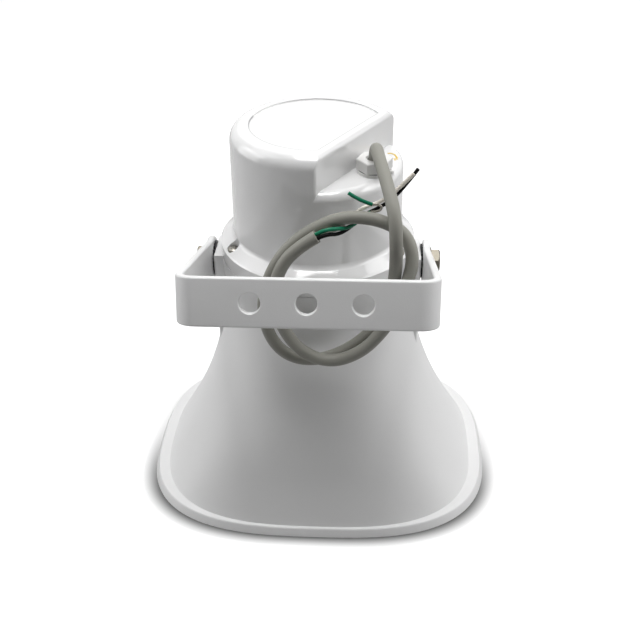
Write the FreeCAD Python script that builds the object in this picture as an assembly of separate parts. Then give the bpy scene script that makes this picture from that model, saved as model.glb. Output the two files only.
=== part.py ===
import FreeCAD, Part
import math
import os

# Weatherproof horn speaker standing on its mouth: +Z runs from the mouth to the rear cover,
# X is the bracket's pivot axis, and the origin is the middle of the mouth on the floor.
# All sizes are millimetres.

V = FreeCAD.Vector
UP = V(0, 0, 1)
X_AXIS = V(1, 0, 0)

# Mouth and rim
mouth_half_width = 109.0
mouth_half_depth = 87.5
mouth_corner_power = 2.9
rim_height = 4.6
rim_bevel = 2.4
rim_edge = 0.5

# Bell
bell_rim_half_width = 99.8
bell_rim_half_depth = 83.2
bell_neck_radius = 54.0
bell_neck_z = 150.0
bell_flare_power = 1.9
bell_corner_power = 2.9
bell_wall = 3.0
bell_sections = 8
oblong_points = 32

# Rear flange of the bell, where the cover seats
seam_z = 153.0
flange_radius = 56.8
bell_flange_height = 9.0
bell_flange_edge = 0.8
bell_flange_foot = 2.0
ring_inner_radius = 44.5
bulkhead_z = 146.0
bulkhead_thickness = 4.0
gasket_inner_radius = 46.6
gasket_outer_radius = 48.6
gasket_groove_depth = 1.5

# Pivot bosses on the sides of the bell
pivot_z = 144.5
boss_face_x = 60.9
boss_half_depth = 12.5
boss_low_z = 84.0
boss_edge = 1.2
insert_boss_radius = 8.5
insert_boss_inner_x = 43.0
insert_radius = 5.5
insert_length = 11.0
insert_boss_cover = 4.0

# Bracket: one flat bar bent to a U, tilted up in front
bracket_tilt = 18.0
bracket_reach = 108.0
bracket_half_width = 66.2
bracket_ear_inner_x = 62.0
bracket_width = 25.5
bracket_steel = 3.0
bracket_bend_radius = 10.5
bracket_ear_flat = 16.0
bracket_edge = 1.2
strap_hole_radius = 5.4
strap_hole_pitch = 28.0
strap_hole_edge = 0.4

# Pivot bolts and their washers
bolt_radius = 3.95
pivot_clearance = 0.08
bolt_head_across_flats = 13.0
bolt_head_height = 5.3
bolt_length_in_insert = 9.5
thread_clearance = 0.05
face_clearance = 0.05
flat_washer_radius = 8.0
flat_washer_thickness = 1.4
tooth_washer_radius = 10.2
tooth_washer_root_radius = 8.8
tooth_washer_hole_radius = 4.2
tooth_count = 24

# Rear cover: round, with a flat chord that drops to a lower ledge for the cable gland
cover_flange_height = 9.2
cover_flange_edge = 1.0
cover_cone_top_z = 167.0
cover_base_radius = 49.1
cover_foot_round = 2.0
cover_top_radius = 48.3
cover_top_z = 230.4
cover_top_round = 8.0
cover_wall = 3.0
cover_cavity_radius = 46.0
chord_angle = -30.5
chord_distance = 26.0
chord_top_round = 3.5
chord_corner_round = 3.0
ledge_z = 210.5
ledge_round = 5.0
cavity_ledge_round = 1.0
recess_radius = 37.3
recess_chord = 21.1
recess_depth = 0.8

# Cover screws, two each side of the pivot axis
cover_screw_angle = 26.0
cover_screw_circle = 52.2
cover_screw_pocket_z = 162.0
cover_screw_pocket_radius = 4.0
cover_screw_pocket_top = 168.5
cover_screw_radius = 1.75
cover_screw_head_radius = 3.3
cover_screw_head_height = 2.2
cover_screw_depth = 8.0
cover_screw_boss_radius = 4.5
cover_screw_boss_end = 3.0
screw_hole_clearance = 0.15
fit_clearance = 0.02
cross_slot_width = 1.0
cross_slot_length = 3.6
cross_slot_depth = 1.2

# Tone arm and the re-entrant reflector
throat_radius = 9.5
tone_arm_end_radius = 17.0
tone_arm_wall = 2.5
tone_arm_end_z = 62.0
tone_arm_flange_radius = 44.0
tone_arm_flange = 3.0
bulkhead_hole_clearance = 0.6
reflector_open_z = 112.0
reflector_open_radius = 36.0
reflector_belly_radius = 46.0
reflector_belly_z = 52.0
reflector_floor_z = 34.0
reflector_corner = 10.0
reflector_wall = 2.5
reflector_cone_radius = 15.0
reflector_cone_height = 20.0
column_circle = 27.0
column_radius = 3.8
column_top_z = 96.0
column_web = 2.4
column_count = 4
column_angle = 45.0
reflector_screw_radius = 1.5
reflector_screw_head_radius = 2.8
reflector_screw_head_height = 1.6
reflector_screw_depth = 12.0

# Compression driver, stacked on the tone arm's flange
driver_gasket_thickness = 1.0
driver_plate_radius = 42.0
driver_plate_thickness = 7.0
driver_screw_circle = 38.6
driver_screw_radius = 1.9
driver_screw_head_radius = 3.2
driver_screw_head_height = 2.4
driver_screw_angle = 0.0
driver_screw_boss_radius = 4.2
driver_screw_boss_depth = 9.0
coil_radius = 16.6
coil_thickness = 0.5
coil_height = 7.0
coil_gap = 0.6
dome_depth = 4.0
dome_thickness = 0.5
dome_clearance = 1.0
dish_rim_depth = 0.8
dish_side_gap = 0.6
surround_radius = 20.0
suspension_ring_radius = 29.0
suspension_ring_thickness = 1.2
suspension_gap = 0.35
plate_share = 0.075
magnet_share = 0.226
top_plate_radius = 35.0
magnet_radius = 36.0
magnet_inner_radius = 21.0
back_plate_radius = 34.0
pole_below_plate = 0.5
plug_radius = 6.0
plug_tip_radius = 0.8
plug_depth = 26.0
plug_rib = 1.6
plug_rib_height = 1.6
plug_ring = 1.2
plug_crown_gap = 0.3

# Line transformer over the driver, standing square to the chord
transformer_offset = -7.0
core_length = 40.0
core_width = 30.0
core_height_share = 0.62
core_leg = 8.0
winding_gap = 0.2
winding_corner = 2.0
transformer_headroom_share = 0.32
strap_foot = 8.0
strap_sheet = 1.2
strap_screw_radius = 1.5
strap_screw_head_radius = 2.8
strap_screw_head_height = 1.8
terminal_thickness = 1.6
terminal_width = 14.0
terminal_tag = 1.2
terminal_tag_height = 4.0

# Cable gland on the ledge
gland_distance = 37.2
gland_tube_radius = 6.0
gland_bore_radius = 3.9
gland_collar_radius = 10.4
gland_collar_height = 1.9
gland_gap = 0.5
gland_nut_across_flats = 17.2
gland_nut_height = 4.9
gland_nut_turn = 7.0
gland_nut_edge = 0.7
gland_seal_radius = 9.0
gland_tube_depth = 9.0
lock_nut_height = 3.5
lock_nut_across_flats = 14.0
grommet_depth = 0.4

# Cable and its three bare-ended wires
cable_radius = 3.4
wire_radius = 1.0
strand_radius = 0.6

# Each cord's route: the points that its centre line turns at, from the object outwards
cable_points = [
    (32.05, -18.88, 206.0),
    (32.05, -18.88, 227.5),
    (34.5, -38.0, 226.0),
    (39.0, -58.0, 220.0),
    (42.8, -73.0, 210.5),
    (43.8, -77.5, 193.5),
    (43.8, -72.5, 175.5),
    (41.5, -69.0, 157.5),
    (34.5, -68.0, 141.0),
    (21.0, -67.0, 126.5),
    (4.0, -66.0, 117.5),
    (-12.5, -65.5, 118.5),
    (-23.5, -65.0, 131.0),
    (-27.0, -64.5, 152.0),
    (-22.0, -63.5, 171.5),
    (-12.5, -62.5, 186.5),
    (1.0, -62.0, 198.0),
    (17.5, -62.0, 205.5),
    (35.0, -63.0, 204.5),
    (48.0, -66.0, 199.0),
    (53.0, -72.0, 188.0),
    (49.8, -77.0, 174.5),
    (45.0, -78.5, 160.0),
    (37.5, -77.5, 144.5),
    (26.5, -76.5, 130.5),
    (10.5, -75.5, 123.0),
    (-5.5, -74.0, 128.5),
    (-15.5, -72.5, 143.0),
    (-19.5, -71.5, 160.0),
    (-17.0, -70.5, 177.0),
    (-8.0, -70.0, 190.0),
    (3.5, -69.5, 197.5),
]
white_points = [
    (3.8, -68.4, 196.9),
    (8.4, -67.6, 199.3),
    (14.0, -62.8, 198.0),
    (20.0, -56.6, 201.6),
    (26.5, -53.0, 206.2),
    (35.0, -50.6, 207.6),
    (43.0, -48.6, 212.8),
    (52.0, -47.2, 222.6),
]
black_points = [
    (3.9, -70.6, 197.0),
    (8.5, -70.2, 199.2),
    (14.5, -66.0, 197.0),
    (20.5, -59.0, 197.6),
    (27.0, -52.6, 201.6),
    (35.5, -49.0, 204.2),
    (44.6, -46.6, 210.2),
    (54.3, -44.9, 224.2),
]
green_points = [
    (2.8, -69.5, 198.6),
    (7.4, -69.3, 201.2),
    (12.8, -67.6, 201.0),
    (18.5, -63.4, 199.2),
    (24.5, -58.4, 200.6),
    (30.5, -55.2, 204.6),
]
green_strand_points = [
    (30.5, -55.2, 204.6),
    (34.4, -54.6, 204.4),
    (36.5, -54.8, 206.9),
    (34.6, -55.6, 209.1),
    (31.2, -56.0, 209.3),
]
green_end_points = [
    (31.2, -56.0, 209.3),
    (25.0, -56.3, 211.3),
    (19.0, -55.5, 215.3),
]
arc_share = 0.45

# Places that follow from the sizes above
rim_top_half_width = mouth_half_width - rim_bevel
rim_top_half_depth = mouth_half_depth - rim_bevel
bulkhead_top_z = bulkhead_z + bulkhead_thickness
tone_flange_z = bulkhead_top_z
driver_gasket_z = tone_flange_z + tone_arm_flange
driver_plate_z = driver_gasket_z + driver_gasket_thickness
driver_plate_top_z = driver_plate_z + driver_plate_thickness
rear_room = cover_top_z - cover_wall - driver_plate_top_z
top_plate_thickness = rear_room * plate_share
back_plate_thickness = rear_room * plate_share
magnet_thickness = rear_room * magnet_share
suspension_top_z = driver_plate_top_z + suspension_ring_thickness
top_plate_z = suspension_top_z
magnet_z = top_plate_z + top_plate_thickness
back_plate_z = magnet_z + magnet_thickness
back_plate_top_z = back_plate_z + back_plate_thickness
transformer_room = cover_top_z - cover_wall - back_plate_top_z
winding_height = transformer_room * (1 - transformer_headroom_share) - strap_sheet
core_height = winding_height * core_height_share
cover_flange_top_z = seam_z + cover_flange_height
ear_outer_x = bracket_ear_inner_x + bracket_steel
ledge_under_z = ledge_z - cover_wall
gland_collar_top_z = ledge_z + gland_collar_height
gland_nut_z = gland_collar_top_z + gland_gap
gland_nut_top_z = gland_nut_z + gland_nut_height

os.makedirs("parts", exist_ok=True)


def export(name, shape):
    shape.exportStep("parts/" + name + ".step")
    print(name, "solids", len(shape.Solids), "volume", round(shape.Volume, 1), "valid", shape.isValid())


def disc(radius, z_low, z_high, x=0.0, y=0.0):
    return Part.makeCylinder(radius, z_high - z_low, V(x, y, z_low))


def ring(inner, outer, z_low, z_high, x=0.0, y=0.0):
    return disc(outer, z_low, z_high, x, y).cut(disc(inner, z_low, z_high, x, y))


def block(x_low, x_high, y_low, y_high, z_low, z_high):
    return Part.makeBox(x_high - x_low, y_high - y_low, z_high - z_low, V(x_low, y_low, z_low))


def rod_x(radius, x_low, x_high, y=0.0, z=0.0):
    return Part.makeCylinder(radius, x_high - x_low, V(x_low, y, z), X_AXIS)


def spun(edges):
    face = Part.Face(Part.Wire(edges))
    return face.revolve(V(0, 0, 0), UP, 360)


def outline(*points):
    corners = [V(r, 0, z) for r, z in points]
    return [Part.makeLine(a, b) for a, b in zip(corners, corners[1:] + corners[:1])]


def hex_prism(across_flats, height, turn=0.0):
    radius = across_flats / math.sqrt(3)
    corners = [V(radius * math.cos(math.radians(turn + 60 * i)),
                 radius * math.sin(math.radians(turn + 60 * i)), 0) for i in range(6)]
    return Part.Face(Part.makePolygon(corners + corners[:1])).extrude(V(0, 0, height))


def rounded_hex(across_flats, height, turn, edge):
    """A hexagon with its top corners turned off to a cone."""
    radius = across_flats / math.sqrt(3)
    cone = Part.makeCone(radius + height - edge, across_flats / 2 - edge, height)
    return hex_prism(across_flats, height, turn).common(cone)


def on_circle(count, first, radius):
    angles = [math.radians(first + 360.0 * i / count) for i in range(count)]
    return [(radius * math.cos(a), radius * math.sin(a)) for a in angles]


def cover_screw_places():
    places = []
    for side in (0.0, 180.0):
        for turn in (-cover_screw_angle, cover_screw_angle):
            a = math.radians(side + turn)
            places.append((cover_screw_circle * math.cos(a), cover_screw_circle * math.sin(a)))
    return places


def joined(shapes):
    return shapes[0].multiFuse(shapes[1:]).removeSplitter()


def rounded_oblong(half_width, half_depth, power, z):
    """A closed curve between an ellipse (power 2) and a rectangle (large power)."""
    places = []
    for i in range(oblong_points):
        a = 2 * math.pi * i / oblong_points
        c, s = math.cos(a), math.sin(a)
        reach = (abs(c / half_width) ** power + abs(s / half_depth) ** power) ** (-1 / power)
        places.append(V(reach * c, reach * s, z))
    curve = Part.BSplineCurve()
    curve.interpolate(Points=places, PeriodicFlag=True, Parameters=[float(i) for i in range(oblong_points + 1)])
    return Part.Wire([curve.toShape()])


def flare(z):
    """How far the bell has opened at a height: 0 at the neck, 1 where it meets the rim."""
    span = bell_neck_z - rim_height
    return (max(bell_neck_z - z, 0.0) / span) ** bell_flare_power


def bell_section(z, inset):
    opened = flare(z)
    half_width = bell_neck_radius + (bell_rim_half_width - bell_neck_radius) * opened
    half_depth = bell_neck_radius + (bell_rim_half_depth - bell_neck_radius) * opened
    power = 2 + (bell_corner_power - 2) * min(opened, 1.0)
    return rounded_oblong(half_width - inset, half_depth - inset, power, z)


def bell_form(inset, z_low, z_high):
    step = (z_high - z_low) / (bell_sections - 1)
    sections = [bell_section(z_low + step * i, inset) for i in range(bell_sections)]
    return Part.makeLoft(sections, True, False)


def pivot_boss(side):
    """The raised pad that carries one pivot, running down until the flare swallows it."""
    pad = block(bell_neck_radius - bell_wall, boss_face_x, -boss_half_depth, boss_half_depth,
                boss_low_z, seam_z - boss_edge / 2)
    upright = [e for e in pad.Edges if abs(e.Vertexes[0].X - e.Vertexes[-1].X) < 0.001
               and abs(e.Vertexes[0].X - boss_face_x) < 0.001]
    pad = pad.makeFillet(boss_edge, upright)
    return pad if side > 0 else pad.mirror(V(0, 0, 0), X_AXIS)


def horn_bell():
    rim = Part.makeLoft([
        rounded_oblong(mouth_half_width, mouth_half_depth, mouth_corner_power, 0.0),
        rounded_oblong(rim_top_half_width + rim_edge / 2, rim_top_half_depth + rim_edge / 2,
                       mouth_corner_power, rim_height - rim_edge),
        rounded_oblong(rim_top_half_width - rim_edge / 2, rim_top_half_depth - rim_edge / 2,
                       mouth_corner_power, rim_height),
    ], True, True)
    shell = bell_form(0.0, 0.0, bell_neck_z)
    flange_low_z = seam_z - bell_flange_height
    flange = spun(outline((0, flange_low_z), (bell_neck_radius, flange_low_z - bell_flange_foot),
                          (flange_radius, flange_low_z), (flange_radius, seam_z - bell_flange_edge),
                          (flange_radius - bell_flange_edge, seam_z), (0, seam_z)))
    bell = shell
    for piece in (rim, flange, pivot_boss(-1), pivot_boss(1)):
        bell = bell.fuse(piece)
    bell = bell.cut(bell_form(bell_wall, -1.0, bell_neck_z))
    return bell.cut(disc(ring_inner_radius, bell_neck_z - 1.0, seam_z + 1.0))


def bell_inside():
    """Bulkhead, ring and bosses moulded inside the bell's neck."""
    neck_inner = bell_neck_radius - bell_wall
    bulkhead = disc(neck_inner + 0.5, bulkhead_z, bulkhead_top_z)
    collar = ring(ring_inner_radius, flange_radius - bell_wall, bulkhead_z, seam_z)
    bosses = []
    for x, y in cover_screw_places():
        bosses.append(disc(cover_screw_boss_radius, seam_z - cover_screw_depth - cover_screw_boss_end,
                           seam_z, x, y))
    for x, y in on_circle(4, driver_screw_angle, driver_screw_circle):
        bosses.append(disc(driver_screw_boss_radius, bulkhead_top_z - driver_screw_boss_depth,
                           bulkhead_top_z, x, y))
    for side in (-1, 1):
        low, high = sorted((side * insert_boss_inner_x, side * (boss_face_x - insert_boss_cover)))
        bosses.append(rod_x(insert_boss_radius, low, high, 0.0, pivot_z))
    return [bulkhead, collar] + bosses


def tone_arm_radius(z):
    share = (driver_gasket_z - z) / (driver_gasket_z - tone_arm_end_z)
    return throat_radius + (tone_arm_end_radius - throat_radius) * share


def bell_finished():
    envelope = bell_form(0.0, 0.0, bell_neck_z)
    keep = envelope.multiFuse([
        disc(flange_radius - 0.5, seam_z - bell_flange_height, seam_z),
        block(-boss_face_x, boss_face_x, -boss_half_depth, boss_half_depth, boss_low_z,
              seam_z - boss_edge)])
    moulded = bell_inside()
    inside = moulded[0].multiFuse(moulded[1:]).common(keep)
    inside = inside.cut(disc(ring_inner_radius, bulkhead_top_z, seam_z + 1.0))
    bell = horn_bell().fuse(inside)
    throat_hole = tone_arm_radius(bulkhead_z) + tone_arm_wall + bulkhead_hole_clearance
    cuts = [disc(throat_hole, bulkhead_z - 1.0, bulkhead_top_z + 1.0),
            ring(gasket_inner_radius, gasket_outer_radius, seam_z - gasket_groove_depth, seam_z + 1.0)]
    for x, y in cover_screw_places():
        cuts.append(disc(cover_screw_radius, seam_z - cover_screw_depth, seam_z + 1.0, x, y))
    for x, y in on_circle(4, driver_screw_angle, driver_screw_circle):
        cuts.append(disc(driver_screw_radius, bulkhead_top_z - driver_screw_boss_depth + 1.5,
                         bulkhead_top_z + 1.0, x, y))
    for side in (-1, 1):
        low, high = sorted((side * (boss_face_x - insert_length), side * (boss_face_x + 1.0)))
        cuts.append(rod_x(insert_radius, low, high, 0.0, pivot_z))
    return bell.cut(Part.makeCompound(cuts))


def tone_arm():
    end = tone_arm_end_radius
    wall = tone_arm_wall
    tube = spun(outline((throat_radius, driver_gasket_z), (end, tone_arm_end_z),
                        (end + wall, tone_arm_end_z),
                        (tone_arm_radius(tone_flange_z) + wall, tone_flange_z),
                        (tone_arm_flange_radius, tone_flange_z),
                        (tone_arm_flange_radius, driver_gasket_z)))
    pieces = [tube]
    floor = reflector_floor_z + reflector_wall
    for x, y in on_circle(column_count, column_angle, column_circle):
        column = disc(column_radius, floor, column_top_z, x, y)
        web = block(tone_arm_end_radius + wall / 2, column_circle, -column_web / 2, column_web / 2,
                    tone_arm_end_z, column_top_z)
        turn = math.degrees(math.atan2(y, x))
        pieces += [column, web.rotate(V(0, 0, 0), UP, turn)]
    arm = joined(pieces)
    arm = arm.cut(Part.makeCone(end, throat_radius, driver_gasket_z - tone_arm_end_z,
                                V(0, 0, tone_arm_end_z)))
    cuts = [disc(reflector_screw_radius, floor - 1.0, floor + reflector_screw_depth, x, y)
            for x, y in on_circle(column_count, column_angle, column_circle)]
    cuts += [disc(driver_screw_radius + screw_hole_clearance, tone_flange_z - 1.0,
                  driver_gasket_z + 1.0, x, y)
             for x, y in on_circle(4, driver_screw_angle, driver_screw_circle)]
    return arm.cut(Part.makeCompound(cuts))


def reflector_form(inset):
    """The cup's outer form, or its inside when the wall is taken off."""
    floor = reflector_floor_z + inset
    belly = reflector_belly_radius - inset
    opening = reflector_open_radius - inset
    corner = reflector_corner - inset
    top = reflector_open_z
    knee = math.sqrt(0.5) * corner
    middle = V(belly - corner + knee, 0, floor + corner - knee)
    swell = V((belly + opening) / 2 + 2.5, 0, (reflector_belly_z + top) / 2)
    edges = [
        Part.makeLine(V(0, 0, floor), V(belly - corner, 0, floor)),
        Part.Arc(V(belly - corner, 0, floor), middle, V(belly, 0, floor + corner)).toShape(),
        Part.makeLine(V(belly, 0, floor + corner), V(belly, 0, reflector_belly_z)),
        Part.Arc(V(belly, 0, reflector_belly_z), swell, V(opening, 0, top)).toShape(),
        Part.makeLine(V(opening, 0, top), V(0, 0, top)),
        Part.makeLine(V(0, 0, top), V(0, 0, floor)),
    ]
    return spun(edges)


def reflector():
    cup = reflector_form(0.0).cut(reflector_form(reflector_wall))
    floor = reflector_floor_z + reflector_wall
    flank = V(reflector_cone_radius * 0.35, 0, floor + reflector_cone_height * 0.42)
    deflector = spun([
        Part.makeLine(V(0, 0, floor - 0.5), V(reflector_cone_radius, 0, floor - 0.5)),
        Part.makeLine(V(reflector_cone_radius, 0, floor - 0.5), V(reflector_cone_radius, 0, floor)),
        Part.Arc(V(reflector_cone_radius, 0, floor), flank,
                 V(1.0, 0, floor + reflector_cone_height)).toShape(),
        Part.makeLine(V(1.0, 0, floor + reflector_cone_height), V(0, 0, floor + reflector_cone_height)),
        Part.makeLine(V(0, 0, floor + reflector_cone_height), V(0, 0, floor - 0.5)),
    ])
    cuts = []
    for x, y in on_circle(column_count, column_angle, column_circle):
        cuts.append(disc(reflector_screw_radius + screw_hole_clearance, reflector_floor_z - 1.0,
                         floor + 1.0, x, y))
        cuts.append(disc(reflector_screw_head_radius + screw_hole_clearance, reflector_floor_z - 1.0,
                         reflector_floor_z + reflector_screw_head_height / 2, x, y))
    return cup.fuse(deflector).removeSplitter().cut(Part.makeCompound(cuts))


def cross_slot(depth):
    half = cross_slot_length / 2
    width = cross_slot_width / 2
    return block(-half, half, -width, width, -depth, 0.1).fuse(
        block(-width, width, -half, half, -depth, 0.1))


def pan_screw(radius, length, head_radius, head_height):
    """A cross-slot pan-head screw: head up, its seat at z = 0."""
    shank = disc(radius, -length, 0.0)
    crown = head_height * 0.35
    head = spun([
        Part.makeLine(V(0, 0, 0), V(head_radius, 0, 0)),
        Part.makeLine(V(head_radius, 0, 0), V(head_radius, 0, head_height - crown)),
        Part.Arc(V(head_radius, 0, head_height - crown),
                 V(head_radius * 0.72, 0, head_height - crown * 0.25), V(0, 0, head_height)).toShape(),
        Part.makeLine(V(0, 0, head_height), V(0, 0, 0)),
    ])
    slot = cross_slot(cross_slot_depth).translate(V(0, 0, head_height))
    return shank.fuse(head).removeSplitter().cut(slot)


def reflector_screws():
    seat = reflector_floor_z + reflector_screw_head_height / 2
    screws = []
    for x, y in on_circle(column_count, column_angle, column_circle):
        screw = pan_screw(reflector_screw_radius - thread_clearance,
                          reflector_screw_depth, reflector_screw_head_radius,
                          reflector_screw_head_height)
        screw = screw.rotate(V(0, 0, 0), X_AXIS, 180)
        screws.append(screw.translate(V(x, y, seat)))
    return Part.makeCompound(screws)


def driver_plate():
    """Front plate of the driver: throat, and a dished seat that the dome faces."""
    dish_radius = surround_radius + dish_side_gap
    plate = ring(throat_radius, driver_plate_radius, driver_plate_z, driver_plate_top_z)
    dish_low_z = driver_plate_top_z - dome_depth - dome_clearance
    dish_rim_z = driver_plate_top_z - dish_rim_depth
    dish = Part.makeCone(throat_radius, dish_radius, dish_rim_z - dish_low_z, V(0, 0, dish_low_z))
    dish = dish.fuse(disc(dish_radius, dish_rim_z, driver_plate_top_z + 1.0))
    cuts = [disc(driver_screw_radius + screw_hole_clearance, driver_plate_z - 1.0,
                 driver_plate_top_z + 1.0, x, y)
            for x, y in on_circle(4, driver_screw_angle, driver_screw_circle)]
    return plate.cut(dish).cut(Part.makeCompound(cuts))


def phase_plug():
    """A bullet in the throat, held by three thin ribs on a ring."""
    low = driver_plate_z
    high = driver_plate_top_z - dome_depth - dome_clearance - plug_crown_gap
    tip = low - plug_depth
    flank = V((plug_tip_radius + plug_radius) * 0.6, 0, (tip + low) / 2)
    bullet = spun([
        Part.makeLine(V(0, 0, tip), V(plug_tip_radius, 0, tip)),
        Part.Arc(V(plug_tip_radius, 0, tip), flank, V(plug_radius, 0, low)).toShape(),
        Part.makeLine(V(plug_radius, 0, low), V(plug_radius, 0, high)),
        Part.makeLine(V(plug_radius, 0, high), V(0, 0, high)),
        Part.makeLine(V(0, 0, high), V(0, 0, tip)),
    ])
    rib_top = low + plug_rib_height
    rim = ring(throat_radius - plug_ring, throat_radius - fit_clearance, low, rib_top)
    ribs = [block(0, throat_radius - plug_ring / 2, -plug_rib / 2, plug_rib / 2, low, rib_top)
            .rotate(V(0, 0, 0), UP, 120 * i) for i in range(3)]
    return joined([bullet, rim] + ribs)


def dome_sheet(radius, depth, z, thickness):
    """A thin spherical dome whose edge lies at z and whose crown hangs below it."""
    ball = (radius ** 2 + depth ** 2) / (2 * depth)
    outer = Part.makeSphere(ball, V(0, 0, z + ball - depth))
    inner = Part.makeSphere(ball - thickness, V(0, 0, z + ball - depth))
    return outer.cut(inner).common(disc(radius, z - depth - 1.0, z))


def diaphragm():
    dome = dome_sheet(coil_radius + coil_thickness, dome_depth, driver_plate_top_z, dome_thickness)
    lip = ring(coil_radius, surround_radius, driver_plate_top_z, driver_plate_top_z + dome_thickness)
    return dome.fuse(lip).removeSplitter()


def voice_coil():
    low = driver_plate_top_z + dome_thickness
    return ring(coil_radius, coil_radius + coil_thickness, low, low + coil_height)


def suspension_ring():
    return ring(surround_radius + suspension_gap, suspension_ring_radius, driver_plate_top_z,
                suspension_top_z)


def back_plate():
    pole = disc(coil_radius - coil_gap, top_plate_z + pole_below_plate, back_plate_z)
    plate = disc(back_plate_radius, back_plate_z, back_plate_top_z)
    return joined([pole, plate])


def driver_screws():
    length = driver_plate_top_z - bulkhead_top_z + driver_screw_boss_depth - 3.0
    screws = []
    for x, y in on_circle(4, driver_screw_angle, driver_screw_circle):
        screw = pan_screw(driver_screw_radius - thread_clearance, length, driver_screw_head_radius,
                          driver_screw_head_height)
        screws.append(screw.translate(V(x, y, driver_plate_top_z)))
    return Part.makeCompound(screws)


def across_chord(shape):
    """Turns a piece so that its +X faces out through the chord."""
    return shape.rotate(V(0, 0, 0), UP, chord_angle)


def transformer_core():
    low = back_plate_top_z + strap_sheet + (winding_height - core_height) / 2
    centre = transformer_offset
    core = block(centre - core_width / 2, centre + core_width / 2, -core_length / 2, core_length / 2,
                 low, low + core_height)
    windows = []
    for side in (-1, 1):
        y_low, y_high = sorted((side * core_leg / 2, side * (core_length / 2 - core_leg)))
        windows.append(block(centre - core_width / 2 + core_leg, centre + core_width / 2 - core_leg,
                             y_low, y_high, low - 1.0, low + core_height + 1.0))
    return across_chord(core.cut(Part.makeCompound(windows)))


def transformer_winding():
    low = back_plate_top_z + strap_sheet
    centre = transformer_offset
    half_x = core_width / 2 - core_leg - winding_gap
    half_y = core_length / 2 - core_leg - winding_gap
    coil = block(centre - half_x, centre + half_x, -half_y, half_y, low, low + winding_height)
    upright = [e for e in coil.Edges if abs(e.Vertexes[0].Z - e.Vertexes[-1].Z) > 1.0]
    coil = coil.makeFillet(winding_corner, upright)
    core_low = low + (winding_height - core_height) / 2
    leg = block(centre - core_width, centre + core_width, -core_leg / 2 - winding_gap / 2,
                core_leg / 2 + winding_gap / 2,
                core_low, core_low + core_height)
    return across_chord(coil.cut(leg))


def transformer_strap():
    """A folded strap over the core, with two feet screwed to the back plate."""
    low = back_plate_top_z
    centre = transformer_offset
    core_low = low + strap_sheet + (winding_height - core_height) / 2
    top = core_low + core_height
    half = core_length / 2
    width = core_leg * 0.8
    x_low = centre - core_width / 2 + 0.5
    x_high = x_low + width
    outer = half + strap_sheet
    pieces = [block(x_low, x_high, -outer, outer, top, top + strap_sheet)]
    for side in (-1, 1):
        y_low, y_high = sorted((side * half, side * outer))
        pieces.append(block(x_low, x_high, y_low, y_high, low, top + strap_sheet))
        y_low, y_high = sorted((side * half, side * (outer + strap_foot)))
        pieces.append(block(x_low, x_high, y_low, y_high, low, low + strap_sheet))
    strap = joined(pieces)
    for x, y in strap_screw_places():
        strap = strap.cut(disc(strap_screw_radius + screw_hole_clearance, low - 1.0,
                               low + strap_sheet + 1.0, x, y))
    return across_chord(strap)


def strap_screw_places():
    x = transformer_offset - core_width / 2 + 0.5 + core_leg * 0.4
    y = core_length / 2 + strap_sheet + strap_foot / 2
    return [(x, -y), (x, y)]


def transformer_screws():
    screws = []
    for x, y in strap_screw_places():
        screw = pan_screw(strap_screw_radius - thread_clearance, back_plate_thickness - 0.5,
                          strap_screw_head_radius, strap_screw_head_height)
        screws.append(across_chord(screw.translate(V(x, y, back_plate_top_z + strap_sheet))))
    return Part.makeCompound(screws)


def back_plate_drilled():
    holes = [across_chord(disc(strap_screw_radius, back_plate_z - 1.0, back_plate_top_z + 1.0, x, y))
             for x, y in strap_screw_places()]
    return back_plate().cut(Part.makeCompound(holes))


def terminal_board():
    low = back_plate_top_z + strap_sheet + winding_height
    centre = transformer_offset
    half = core_length / 2 - core_leg - 2.0
    board = block(centre - terminal_width / 2, centre + terminal_width / 2, -half, half,
                  low, low + terminal_thickness)
    tags = [block(centre - terminal_tag, centre + terminal_tag, y - terminal_tag / 2,
                  y + terminal_tag / 2, low + terminal_thickness, low + terminal_thickness + terminal_tag_height)
            for y in (-half * 0.6, 0.0, half * 0.6)]
    return across_chord(joined([board] + tags))


def cover_radius(z, inset):
    share = (z - cover_cone_top_z) / (cover_top_z - cover_cone_top_z)
    return cover_base_radius + (cover_top_radius - cover_base_radius) * share - inset


def round_body(z_low, z_high, top_round, inset):
    """The cover's round wall with its top edge turned over to a radius."""
    knee = math.sqrt(0.5) * top_round
    radius = cover_radius(z_high, inset)
    side = V(radius, 0, z_high - top_round)
    middle = V(radius - top_round + knee, 0, z_high - top_round + knee)
    crown = V(radius - top_round, 0, z_high)
    return spun([
        Part.makeLine(V(0, 0, z_low), V(cover_radius(z_low, inset), 0, z_low)),
        Part.makeLine(V(cover_radius(z_low, inset), 0, z_low), side),
        Part.Arc(side, middle, crown).toShape(),
        Part.makeLine(crown, V(0, 0, z_high)),
        Part.makeLine(V(0, 0, z_high), V(0, 0, z_low)),
    ])


def chord_side(z_low, z_high, distance, top_round):
    """Everything on the full-height side of the chord, with the chord's top edge rounded."""
    knee = math.sqrt(0.5) * top_round
    reach = 2 * flange_radius
    side = V(distance, -reach, z_high - top_round)
    middle = V(distance - top_round + knee, -reach, z_high - top_round + knee)
    crown = V(distance - top_round, -reach, z_high)
    edges = [
        Part.makeLine(V(-reach, -reach, z_low), V(distance, -reach, z_low)),
        Part.makeLine(V(distance, -reach, z_low), side),
        Part.Arc(side, middle, crown).toShape(),
        Part.makeLine(crown, V(-reach, -reach, z_high)),
        Part.makeLine(V(-reach, -reach, z_high), V(-reach, -reach, z_low)),
    ]
    prism = Part.Face(Part.Wire(edges)).extrude(V(0, 2 * reach, 0))
    return across_chord(prism)


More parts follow.
